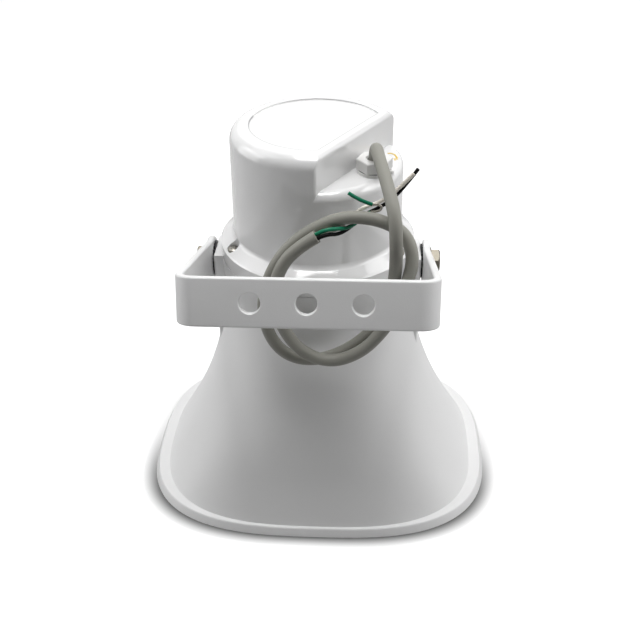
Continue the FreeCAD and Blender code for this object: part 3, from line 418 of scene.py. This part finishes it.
def recess_painted_shade_line(material):
    """Paints shade on the cover: darkens a narrow line along the edge of the recess on the cover's top.
    """
    tree = material.node_tree
    shader = tree.nodes["Principled BSDF"]
    colour = shader.inputs["Base Color"].links[0].from_socket
    x, y, z = object_place(tree)
    flat = math_node(tree, "ADD", math_node(tree, "POWER", x, 2.0), math_node(tree, "POWER", y, 2.0))
    past_round = math_node(tree, "SUBTRACT", math_node(tree, "SQRT", flat), RECESS_RADIUS)
    toward = math_node(tree, "ADD", math_node(tree, "MULTIPLY", x, math.cos(CHORD_ANGLE)),
                       math_node(tree, "MULTIPLY", y, math.sin(CHORD_ANGLE)))
    past_chord = math_node(tree, "SUBTRACT", toward, RECESS_CHORD)
    edge = math_node(tree, "MAXIMUM", past_round, past_chord)
    on_chord = math_node(tree, "GREATER_THAN", past_chord, past_round)
    painted_line = math_node(tree, "MAXIMUM", on_chord, math_node(tree, "LESS_THAN", y, RECESS_PAINTED_BACK_Y))
    for operation, value, limit in (("GREATER_THAN", edge, -RECESS_PAINTED_HALF_WIDTH),
                                    ("LESS_THAN", edge, RECESS_PAINTED_HALF_WIDTH),
                                    ("GREATER_THAN", z, RECESS_PAINTED_LOWEST_Z)):
        painted_line = math_node(tree, "MULTIPLY", painted_line, math_node(tree, operation, value, limit))
    level = math_node(tree, "SUBTRACT", 1.0, math_node(tree, "MULTIPLY", painted_line, 1.0 - RECESS_PAINTED_SHADE))
    tree.links.new(scaled_colour(tree, colour, level), shader.inputs["Base Color"])
    return material


def cover_plastic():
    material = finish_material("cover_plastic", tuple(bpy.context.scene.horn_colours.cover), 0.12,
                               grain_scale=700.0, grain_depth=0.000012, coarse=0.6, drift_scale=14.0,
                               colour_change=0.025, roughness_change=0.04, coat=0.6, coat_roughness=0.03)
    # The cover's white carries a painted shade line round its recess.
    return recess_painted_shade_line(material)


def powder_coat():
    return finish_material("powder_coat", tuple(bpy.context.scene.horn_colours.bracket), 0.42,
                           grain_scale=1500.0, grain_depth=0.00006, coarse=0.5, colour_change=0.03)


def nylon():
    return finish_material("white_nylon", (0.76, 0.755, 0.74), 0.34, grain_scale=1200.0,
                           colour_change=0.04)


def nickel():
    return finish_material("nickel_plate", (0.24, 0.23, 0.205), 0.3, metallic=1.0, grain_scale=1800.0,
                           grain_depth=0.00001, colour_change=0.1, roughness_change=0.2)


def bolt_steel():
    return finish_material("bolt_steel", (0.125, 0.115, 0.095), 0.34, metallic=1.0, grain_scale=1800.0,
                           grain_depth=0.00002, colour_change=0.15, roughness_change=0.2)


def zinc():
    return finish_material("zinc_plate", (0.62, 0.62, 0.58), 0.34, metallic=1.0, grain_scale=900.0,
                           colour_change=0.12, roughness_change=0.2)


def black_steel():
    return finish_material("black_oxide_steel", (0.035, 0.035, 0.037), 0.45, metallic=0.4,
                           grain_scale=1400.0, colour_change=0.25)


def brass():
    return finish_material("plain_brass", (0.72, 0.50, 0.20), 0.3, metallic=1.0, colour_change=0.15)


def black_rubber():
    return finish_material("black_rubber", (0.022, 0.022, 0.023), 0.6, grain_scale=1600.0,
                           grain_depth=0.00004, colour_change=0.3)


def cable_jacket():
    return finish_material("cable_jacket", tuple(bpy.context.scene.horn_colours.cable), 0.52,
                           grain_scale=1300.0, grain_depth=0.00005, coarse=0.8, drift_scale=55.0,
                           colour_change=0.14, roughness_change=0.15, specular=0.35)


def wire_skin(name, colour, specular=0.3):
    return finish_material(name, colour, 0.38, grain_scale=1800.0, drift_scale=120.0, colour_change=0.2,
                           roughness_change=0.12, specular=specular)


def tinned_strand():
    return finish_material("tinned_strand", (0.33, 0.31, 0.27), 0.38, metallic=1.0, grain_scale=3000.0,
                           colour_change=0.5, drift_scale=600.0, roughness_change=0.3)


def inner_plastic():
    return finish_material("inner_plastic", (0.62, 0.62, 0.60), 0.42, grain_scale=2200.0)


def dark_casting():
    return finish_material("dark_casting", (0.05, 0.05, 0.052), 0.5, colour_change=0.2)


def phenolic():
    return finish_material("phenolic_dome", (0.20, 0.10, 0.04), 0.3, colour_change=0.3)


def copper():
    return finish_material("enamelled_copper", (0.60, 0.22, 0.08), 0.25, metallic=1.0,
                           stretch=(1.0, 1.0, 6.0))


def fibre_board():
    return finish_material("fibre_board", (0.24, 0.12, 0.05), 0.6, grain_scale=1500.0,
                           colour_change=0.3)


def ferrite():
    return finish_material("dark_ferrite", (0.045, 0.045, 0.05), 0.55, metallic=0.2, coarse=0.8,
                           colour_change=0.3)


def core_steel():
    return finish_material("core_sheets", (0.14, 0.14, 0.145), 0.4, metallic=0.8, grain_scale=300.0,
                           grain_depth=0.0001, stretch=(0.3, 0.3, 6.0))


def winding_tape():
    return finish_material("winding_tape", (0.55, 0.40, 0.05), 0.25, grain_scale=500.0,
                           colour_change=0.12)


NODE_FINISHES = {
    "horn_bell": bell_plastic, "tone_arm": inner_plastic, "reflector": bell_plastic,
    "reflector_screws": zinc, "driver_gasket": black_rubber, "driver_plate": dark_casting,
    "phase_plug": dark_casting, "diaphragm": phenolic, "voice_coil": copper,
    "suspension_ring": fibre_board, "top_plate": zinc, "magnet": ferrite, "back_plate": zinc,
    "driver_screws": zinc, "transformer_core": core_steel, "transformer_winding": winding_tape,
    "transformer_strap": zinc, "transformer_screws": zinc, "terminal_board": fibre_board,
    "driver_cover": cover_plastic, "cover_gasket": black_rubber, "cover_screws": nickel,
    "gland_body": nylon, "gland_seal": black_rubber, "gland_nut": nylon,
    "gland_grommet": black_rubber, "gland_lock_nut": nylon, "bracket": powder_coat,
    "pivot_bolts": bolt_steel, "pivot_flat_washers": bolt_steel, "tooth_washers": black_steel,
    "pivot_inserts": brass,
}


def cord_curve(name, route, diameter, material, node=None):
    """A round cord on one smooth spline that has the route's points as its control points."""
    curve = bpy.data.curves.new(name, "CURVE")
    curve.dimensions = "3D"
    curve.bevel_depth = diameter / 2
    curve.bevel_resolution = 8
    curve.resolution_u = 12
    curve.use_fill_caps = True
    spline = curve.splines.new("NURBS")
    spline.points.add(len(route) - 1)
    for point, place in zip(spline.points, route):
        point.co = (*place, 1.0)
    spline.order_u = 3
    spline.use_endpoint_u = True
    curve.materials.append(material)
    piece = bpy.data.objects.new(name, curve)
    bpy.context.scene.collection.objects.link(piece)
    if node:
        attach(piece, "root")
        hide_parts(node)
    return piece


def route_places(piece):
    """Points along a cord's own spline."""
    bare = piece.data.copy()
    bare.bevel_depth = 0.0
    holder = bpy.data.objects.new("measure", bare)
    mesh = bpy.data.meshes.new_from_object(holder)
    places = [v.co.copy() for v in mesh.vertices]
    bpy.data.objects.remove(holder)
    bpy.data.curves.remove(bare)
    bpy.data.meshes.remove(mesh)
    return places


def route_length(piece):
    places = route_places(piece)
    return sum((b - a).length for a, b in zip(places, places[1:]))


def new_piece(name, bm, material, body, node=None, sharp=30.0):
    bmesh.ops.recalc_face_normals(bm, faces=bm.faces[:])
    mesh = bpy.data.meshes.new(name)
    bm.to_mesh(mesh)
    bm.free()
    for layer in [a.name for a in mesh.attributes if a.name == "custom_normal"]:
        mesh.attributes.remove(mesh.attributes[layer])
    mesh.shade_smooth()
    mesh.set_sharp_from_angle(angle=math.radians(sharp))
    mesh.materials.clear()
    mesh.materials.append(material)
    piece = bpy.data.objects.new(name, mesh)
    bpy.context.scene.collection.objects.link(piece)
    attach(piece, body)
    if node:
        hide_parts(node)
    return piece


def node_copy(node):
    """A merged copy of a carried-over part's mesh, free to be reshaped."""
    bm = bmesh.new()
    bm.from_mesh(NODES[node].data)
    bm.transform(NODES[node].matrix_world)
    bmesh.ops.remove_doubles(bm, verts=bm.verts[:], dist=MERGE_DISTANCE)
    return bm


def join_rings(bm, low, high):
    for i in range(len(low)):
        j = (i + 1) % len(low)
        bm.faces.new((low[i], low[j], high[j], high[i]))


def ring_stack(bm, rings):
    """A closed skin through closed rings of points, the last one joined to the first."""
    loops = [[bm.verts.new(place) for place in ring] for ring in rings]
    for low, high in zip(loops, loops[1:] + loops[:1]):
        join_rings(bm, low, high)


def hex_ring(across_flats, turn, z):
    """Points round a hexagon about the gland's axis, its corners among them."""
    places = []
    for i in range(RING_CORNERS):
        a = 2.0 * math.pi * i / RING_CORNERS
        folded = (a + math.pi / 6.0) % (math.pi / 3.0) - math.pi / 6.0
        radius = across_flats / 2.0 / math.cos(math.pi / 6.0 - abs(folded))
        places.append((GLAND_AT[0] + radius * math.cos(a + turn),
                       GLAND_AT[1] + radius * math.sin(a + turn), z))
    return places


def round_ring(radius, turn, z):
    """Points round a circle about the gland's axis."""
    places = []
    for i in range(RING_CORNERS):
        a = 2.0 * math.pi * i / RING_CORNERS + turn
        places.append((GLAND_AT[0] + radius * math.cos(a), GLAND_AT[1] + radius * math.sin(a), z))
    return places


def course(places, i):
    """The direction in which a line of points runs at one of them."""
    return (places[min(i + 1, len(places) - 1)] - places[max(i - 1, 0)]).normalized()


def twisted_strands(piece, material):
    """Replaces a plain cord by thin strands that wind round its own spline."""
    places = route_places(piece)
    bpy.data.objects.remove(piece)
    along = [0.0]
    for a, b in zip(places, places[1:]):
        along.append(along[-1] + (b - a).length)
    bm = bmesh.new()
    for number in range(STRAND_COUNT):
        first = 2.0 * math.pi * number / STRAND_COUNT
        side = Vector((0.0, 0.0, 1.0))
        last = None
        for i, (place, run) in enumerate(zip(places, along)):
            ahead = course(places, i)
            side = (side - ahead * side.dot(ahead)).normalized()
            across = ahead.cross(side)
            turn = first + 2.0 * math.pi * run / STRAND_LAY
            spot = place + (side * math.cos(turn) + across * math.sin(turn)) * STRAND_LAY_RADIUS
            ring = []
            for corner in range(STRAND_CORNERS):
                a = 2.0 * math.pi * corner / STRAND_CORNERS
                out = (side * math.cos(a) + across * math.sin(a)) * STRAND_RADIUS
                ring.append(bm.verts.new(spot + out))
            if last:
                join_rings(bm, last, ring)
            else:
                bm.faces.new(ring)
            last = ring
        bm.faces.new(last)
    return new_piece("green_wire_bare", bm, material, "root", "wire_green_strands",
                     sharp=60.0)


def rim_term(tree, along, half):
    """One term of the mouth's rounded outline; two of them add up to 1 on the outline."""
    share = math_node(tree, "DIVIDE", math_node(tree, "ABSOLUTE", along), half)
    return math_node(tree, "POWER", share, MOUTH_POWER)


def smooth_ramp(tree, value, ends):
    ramp = tree.nodes.new("ShaderNodeMapRange")
    ramp.interpolation_type = "SMOOTHSTEP"
    tree.links.new(value, ramp.inputs["Value"])
    for label, number in zip(("From Min", "From Max", "To Min", "To Max"), ends):
        ramp.inputs[label].default_value = number
    return ramp.outputs["Result"]


def eased(tree, value, full, share):
    """Takes a value toward its full level where the share is small."""
    short = math_node(tree, "SUBTRACT", full, value)
    return math_node(tree, "SUBTRACT", full, math_node(tree, "MULTIPLY", short, share))


def seen_part(tree, gloss):
    """1 where the camera looks, also through a surface, and the gloss level in reflections."""
    path = tree.nodes.new("ShaderNodeLightPath")
    mirrored = math_node(tree, "MULTIPLY", path.outputs["Is Glossy Ray"], gloss)
    seen = math_node(tree, "MAXIMUM", path.outputs["Is Camera Ray"], mirrored)
    return math_node(tree, "MAXIMUM", seen, path.outputs["Is Transmission Ray"])


def floor_material():
    """Pale matt floor that reads as white round the object, takes the object's real shadow and has a
    painted shadow close round the mouth.
    """
    material = bpy.data.materials.new("pale_floor")
    material.use_nodes = True
    tree = material.node_tree
    shader = tree.nodes["Principled BSDF"]
    shader.inputs["Roughness"].default_value = 0.9
    shader.inputs["Specular IOR Level"].default_value = 0.1
    x, y = object_place(tree)[:2]
    across = rim_term(tree, x, MOUTH_HALF_WIDTH)
    along = rim_term(tree, y, MOUTH_HALF_DEPTH)
    reach = math_node(tree, "POWER", math_node(tree, "ADD", across, along), 1.0 / MOUTH_POWER)
    # Painted shadow: the glow and the floor's colour are lowered close round the mouth, more in front
    # than behind.
    ahead = smooth_ramp(tree, y, PAINTED_SHADOW_FRONT_RAMP)
    glow_and_painted_shadow = eased(tree, smooth_ramp(tree, reach, GLOW_AND_PAINTED_SHADOW_RAMP), GLOW_AND_PAINTED_SHADOW_RAMP[3], ahead)
    painted_shadow = eased(tree, smooth_ramp(tree, reach, PAINTED_SHADOW_RAMP), PAINTED_SHADOW_RAMP[3], ahead)
    tree.links.new(scaled_colour(tree, FLOOR_COLOUR, painted_shadow), shader.inputs["Base Color"])
    glow = tree.nodes.new("ShaderNodeEmission")
    seen = seen_part(tree, FLOOR_GLOSS)
    tree.links.new(math_node(tree, "MULTIPLY", seen, glow_and_painted_shadow), glow.inputs["Strength"])
    both = tree.nodes.new("ShaderNodeAddShader")
    tree.links.new(shader.outputs[0], both.inputs[0])
    tree.links.new(glow.outputs[0], both.inputs[1])
    tree.links.new(both.outputs[0], tree.nodes["Material Output"].inputs["Surface"])
    return material


def studio_world():
    """White behind everything; its gloss is darker on the side where the photographer stands."""
    world = bpy.data.worlds.new("studio")
    world.use_nodes = True
    tree = world.node_tree
    background = tree.nodes["Background"]
    background.inputs["Color"].default_value = (1.0, 1.0, 1.0, 1.0)
    place = tree.nodes.new("ShaderNodeTexCoord")
    side = tree.nodes.new("ShaderNodeSeparateXYZ")
    tree.links.new(place.outputs["Generated"], side.inputs[0])
    dim = smooth_ramp(tree, side.outputs["Y"], DARK_SIDE_RAMP)
    strength = math_node(tree, "MAXIMUM", seen_part(tree, dim), WORLD_LIGHT)
    tree.links.new(strength, background.inputs["Strength"])
    return world


class HORN_OT_camera(bpy.types.Operator):
    """Sets the camera to the photograph's view"""
    bl_idname = "horn.camera"
    bl_label = "Camera"

    def execute(self, context):
        data = bpy.data.cameras.new("photo_view")
        data.lens = CAMERA_LENS
        data.sensor_width = CAMERA_SENSOR
        data.sensor_fit = "HORIZONTAL"
        camera = bpy.data.objects.new("photo_view", data)
        context.scene.collection.objects.link(camera)
        turn = Matrix.Rotation(CAMERA_TURN, 4, "Z")
        down = Matrix.Rotation(math.radians(90.0) - CAMERA_DOWN, 4, "X")
        roll = Matrix.Rotation(CAMERA_ROLL, 4, "Z")
        camera.matrix_world = Matrix.Translation(CAMERA_AT) @ turn @ down @ roll
        context.scene.camera = camera
        return {"FINISHED"}


class HORN_OT_cable(bpy.types.Operator):
    """Lays the grey cable from its gland round its loose coil to its cut end"""
    bl_idname = "horn.cable"
    bl_label = "Cable"

    def execute(self, context):
        sizes = context.scene.horn_sizes
        cable = cord_curve("cable_run", CABLE_ROUTE, sizes.cable_diameter, cable_jacket(), "cable")
        round(route_length(cable), 3)
        return {"FINISHED"}


class HORN_OT_wires(bpy.types.Operator):
    """Lays the three inner wires that come out of the cable's cut end"""
    bl_idname = "horn.wires"
    bl_label = "Wires"

    def execute(self, context):
        sizes = context.scene.horn_sizes
        white = wire_skin("white_wire_skin", (0.85, 0.80, 0.72))
        black = wire_skin("black_wire_skin", (0.004, 0.004, 0.004), 0.08)
        green = wire_skin("green_wire_skin", tuple(context.scene.horn_colours.green))
        pieces = {}
        for name, route, skin, node, slot in (
                ("white_wire_run", WHITE_ROUTE, white, "wire_white", "white_wire"),
                ("black_wire_run", BLACK_ROUTE, black, "wire_black", "black_wire"),
                ("green_wire_run", GREEN_ROUTE, green, "wire_green", "green_wire"),
                ("green_wire_tip", GREEN_END_ROUTE, green, "wire_green_end", "green_wire")):
            pieces[name] = cord_curve(name, route, sizes.wire_diameter, skin, node)
        route_only = cord_curve("strand_route", GREEN_STRAND_ROUTE, 0.0, tinned_strand())
        ends = (twisted_strands(route_only, tinned_strand()), pieces["green_wire_tip"])
        for name, route, further in (("white_wire_run", WHITE_ROUTE, ()),
                                     ("black_wire_run", BLACK_ROUTE, ()),
                                     ("green_wire_run", GREEN_ROUTE, ends)):
            round(route_length(pieces[name]), 4)
        return {"FINISHED"}


def bracket_place(spot):
    """Where a point of the thin bracket lies on the full one."""
    x = spot.x
    out = abs(x)
    along = spot.dot(ALONG)
    across = spot.dot(ACROSS)
    start = BRACKET_REACH - BEND_RADIUS
    centre = ARM_OUTER_X - BEND_RADIUS
    share = min(max((along - ARM_START) / (start - ARM_START), 0.0), 1.0)
    if along <= start:
        depth = EAR_OUTER_X + (ARM_OUTER_X - EAR_OUTER_X) * share - out
        out += EXTRA_STEEL * (1.0 - share) if depth < CAD_STEEL / 2 else -EXTRA_STEEL * share
        if abs(across) > BRACKET_EDGE:
            notch, least = NOTCH_LEFT if x < 0.0 else NOTCH_RIGHT
            if along > notch - NOTCH_STEP:
                half = least + (BRACKET_HALF - least) * (along - notch) / (start - notch)
            else:
                half = math.sqrt(BRACKET_HALF ** 2 - max(along, 0.0) ** 2)
            across *= half / BRACKET_HALF
    elif out > centre:
        radius = math.hypot(out - centre, along - start)
        if BEND_RADIUS - radius > CAD_STEEL / 2:
            shorter = (radius - EXTRA_STEEL) / radius
            out = centre + (out - centre) * shorter
            along = start + (along - start) * shorter
    elif BRACKET_REACH - along > CAD_STEEL / 2:
        along -= EXTRA_STEEL
    return Vector((math.copysign(out, x), 0.0, 0.0)) + ALONG * along + ACROSS * across


class HORN_OT_bracket(bpy.types.Operator):
    """Thickens the bracket to its full 4 mm steel and narrows its arms toward the ears"""
    bl_idname = "horn.bracket"
    bl_label = "Bracket"

    def execute(self, context):
        bm = node_copy("bracket")
        pivot = Vector((0.0, 0.0, PIVOT_Z))
        for along in BRACKET_CUTS:
            bmesh.ops.bisect_plane(bm, geom=bm.verts[:] + bm.edges[:] + bm.faces[:], dist=CUT_TOLERANCE,
                                   plane_co=pivot + ALONG * along, plane_no=ALONG)
        for vert in bm.verts:
            vert.co = bracket_place(vert.co - pivot) + pivot
        new_piece("bracket_bar", bm, powder_coat(), "bracket", "bracket")
        return {"FINISHED"}


class HORN_OT_pivots(bpy.types.Operator):
    """Seats the pivot bolts and their washers on the full bracket"""
    bl_idname = "horn.pivots"
    bl_label = "Pivots"

    def execute(self, context):
        bm = node_copy("pivot_flat_washers")
        for vert in bm.verts:
            thinner = WASHER_THINNER if abs(vert.co.x) > WASHER_MIDDLE_X else 0.0
            vert.co.x += math.copysign(EXTRA_STEEL - thinner, vert.co.x)
        new_piece("pivot_washer_pair", bm, bolt_steel(), "root", "pivot_flat_washers")
        bm = node_copy("pivot_bolts")
        for vert in bm.verts:
            if abs(vert.co.x) > EAR_OUTER_X:
                vert.co.x += math.copysign(EXTRA_STEEL - WASHER_THINNER, vert.co.x)
        new_piece("pivot_bolt_pair", bm, bolt_steel(), "root", "pivot_bolts")
        return {"FINISHED"}


class HORN_OT_gland(bpy.types.Operator):
    """Builds the cable gland: collar with its lug, seal and a crisp hexagon nut"""
    bl_idname = "horn.gland"
    bl_label = "Gland"

    def execute(self, context):
        collar_top = LEDGE_Z + COLLAR_HEIGHT
        nut_low = collar_top + SEAL_GAP
        nut_top = nut_low + NUT_HEIGHT
        bm = node_copy("gland_body")
        for vert in bm.verts:
            out = Vector((vert.co.x - GLAND_AT[0], vert.co.y - GLAND_AT[1]))
            if out.length > COLLAR_INNER_RADIUS:
                out *= COLLAR_RADIUS / CAD_COLLAR_RADIUS
            height = vert.co.z
            if abs(height - LEDGE_Z - CAD_COLLAR_HEIGHT) < COLLAR_TOP_TOLERANCE:
                height = collar_top
            vert.co = (GLAND_AT[0] + out.x, GLAND_AT[1] + out.y, height)
        lug = (GLAND_AT[0] + COLLAR_RADIUS * math.cos(LUG_ANGLE),
               GLAND_AT[1] + COLLAR_RADIUS * math.sin(LUG_ANGLE))
        bmesh.ops.create_cone(bm, cap_ends=True, segments=LUG_CORNERS, radius1=LUG_RADIUS,
                              radius2=LUG_RADIUS * LUG_TAPER, depth=COLLAR_HEIGHT,
                              matrix=Matrix.Translation((*lug, LEDGE_Z + COLLAR_HEIGHT / 2)))
        new_piece("gland_collar", bm, nylon(), "root", "gland_body")
        bm = bmesh.new()
        ring_stack(bm, [
            round_ring(SEAL_BORE, 0.0, collar_top),
            round_ring(SEAL_RADIUS, 0.0, collar_top),
            round_ring(SEAL_RADIUS, 0.0, nut_low),
            round_ring(SEAL_BORE, 0.0, nut_low)])
        new_piece("gland_seal_ring", bm, black_rubber(), "root", "gland_seal")
        bm = bmesh.new()
        ring_stack(bm, [
            round_ring(NUT_BORE, NUT_TURN, nut_low),
            hex_ring(NUT_ACROSS_FLATS, NUT_TURN, nut_low),
            hex_ring(NUT_ACROSS_FLATS, NUT_TURN, nut_top - NUT_EDGE),
            hex_ring(NUT_ACROSS_FLATS - 2.0 * NUT_EDGE, NUT_TURN, nut_top),
            round_ring(NUT_BORE, NUT_TURN, nut_top)])
        new_piece("gland_hex_nut", bm, nylon(), "root", "gland_nut", sharp=20.0)
        return {"FINISHED"}


class HORN_OT_turn_mark(bpy.types.Operator):
    """Lays the small curved arrow on the ledge beside the gland"""
    bl_idname = "horn.turn_mark"
    bl_label = "Turn mark"

    def execute(self, context):
        places = []
        for (x0, y0), (x1, y1) in zip(MARK_ROUTE, MARK_ROUTE[1:]):
            for step in range(MARK_STEPS):
                share = step / MARK_STEPS
                places.append(Vector((x0 + (x1 - x0) * share, y0 + (y1 - y0) * share)))
        places.append(Vector(MARK_ROUTE[-1]))
        bm = bmesh.new()
        rows = []
        for i, place in enumerate(places):
            ahead = course(places, i)
            left = Vector((-ahead.y, ahead.x))
            to_tip = (places[-1] - place).length
            width = MARK_WIDTH
            if to_tip < MARK_HEAD_LENGTH:
                width = max(MARK_HEAD_WIDTH * to_tip / MARK_HEAD_LENGTH, MARK_TIP_WIDTH)
            row = []
            for way in (-0.5, 0.5):
                spot = place + left * (way * width)
                over = max(spot.length - LEDGE_FLAT_RADIUS, 0.0)
                floor = LEDGE_Z - (LEDGE_ROUND - math.sqrt(LEDGE_ROUND ** 2 - over ** 2))
                for lift in (-MARK_HALF_THICKNESS, MARK_HALF_THICKNESS):
                    row.append(bm.verts.new((spot.x, spot.y, floor + lift)))
            rows.append((row[0], row[1], row[3], row[2]))
        for low, high in zip(rows, rows[1:]):
            join_rings(bm, low, high)
        bm.faces.new(rows[0])
        bm.faces.new(rows[-1])
        paint = finish_material("mark_paint", (0.62, 0.42, 0.03), 0.4, grain_scale=2400.0)
        new_piece("turn_mark", bm, paint, "root")
        return {"FINISHED"}


class HORN_OT_finishes(bpy.types.Operator):
    """Gives every carried-over part its own finish"""
    bl_idname = "horn.finishes"
    bl_label = "Finishes"

    def execute(self, context):
        for name, finish in NODE_FINISHES.items():
            mesh = NODES[name].data
            mesh.materials.clear()
            mesh.materials.append(finish())
        return {"FINISHED"}


class HORN_OT_stage(bpy.types.Operator):
    """Builds the pale floor, the lamps and the world"""
    bl_idname = "horn.stage"
    bl_label = "Stage"

    def execute(self, context):
        scene = context.scene
        scene.view_settings.view_transform = "Standard"
        bm = bmesh.new()
        bmesh.ops.create_grid(bm, x_segments=1, y_segments=1, size=scene.horn_sizes.floor_size / 2)
        mesh = bpy.data.meshes.new("floor")
        bm.to_mesh(mesh)
        bm.free()
        mesh.materials.append(floor_material())
        floor = bpy.data.objects.new("floor", mesh)
        floor.location.z = FLOOR_Z
        scene.collection.objects.link(floor)
        for name, at, size, power, colour in LAMPS:
            data = bpy.data.lights.new(name, "AREA")
            data.shape = "RECTANGLE"
            data.size, data.size_y = size
            data.energy = power
            data.color = colour
            lamp = bpy.data.objects.new(name, data)
            scene.collection.objects.link(lamp)
            aim = (Vector(LAMP_TARGET) - Vector(at)).to_track_quat("-Z", "Y")
            lamp.matrix_world = Matrix.Translation(at) @ aim.to_matrix().to_4x4()
        scene.world = studio_world()
        return {"FINISHED"}


class HORN_PT_panel(bpy.types.Panel):
    """Lists the pieces and their settings"""
    bl_idname = "HORN_PT_panel"
    bl_label = "Horn speaker"
    bl_space_type = "VIEW_3D"
    bl_region_type = "UI"
    bl_category = "Speaker"

    def draw(self, context):
        layout = self.layout
        for group in (context.scene.horn_colours, context.scene.horn_sizes):
            for name in group.bl_rna.properties.keys():
                if name not in ("rna_type", "name"):
                    layout.prop(group, name)
        for operator in OPERATORS:
            layout.operator(operator.bl_idname)


OPERATORS = (HORN_OT_camera, HORN_OT_cable, HORN_OT_wires, HORN_OT_bracket, HORN_OT_pivots,
             HORN_OT_gland, HORN_OT_turn_mark, HORN_OT_finishes, HORN_OT_stage)
CLASSES = (HornColours, HornSizes, *OPERATORS, HORN_PT_panel)


def register():
    for item in CLASSES:
        bpy.utils.register_class(item)
    bpy.types.Scene.horn_colours = bpy.props.PointerProperty(type=HornColours)
    bpy.types.Scene.horn_sizes = bpy.props.PointerProperty(type=HornSizes)


def unregister():
    del bpy.types.Scene.horn_sizes
    del bpy.types.Scene.horn_colours
    for item in reversed(CLASSES):
        bpy.utils.unregister_class(item)


def main():
    register()
    bpy.ops.horn.camera()
    bpy.ops.horn.cable()
    bpy.ops.horn.wires()
    bpy.ops.horn.bracket()
    bpy.ops.horn.pivots()
    bpy.ops.horn.gland()
    bpy.ops.horn.turn_mark()
    bpy.ops.horn.finishes()
    bpy.ops.horn.stage()


if __name__ == "__main__":
    main()
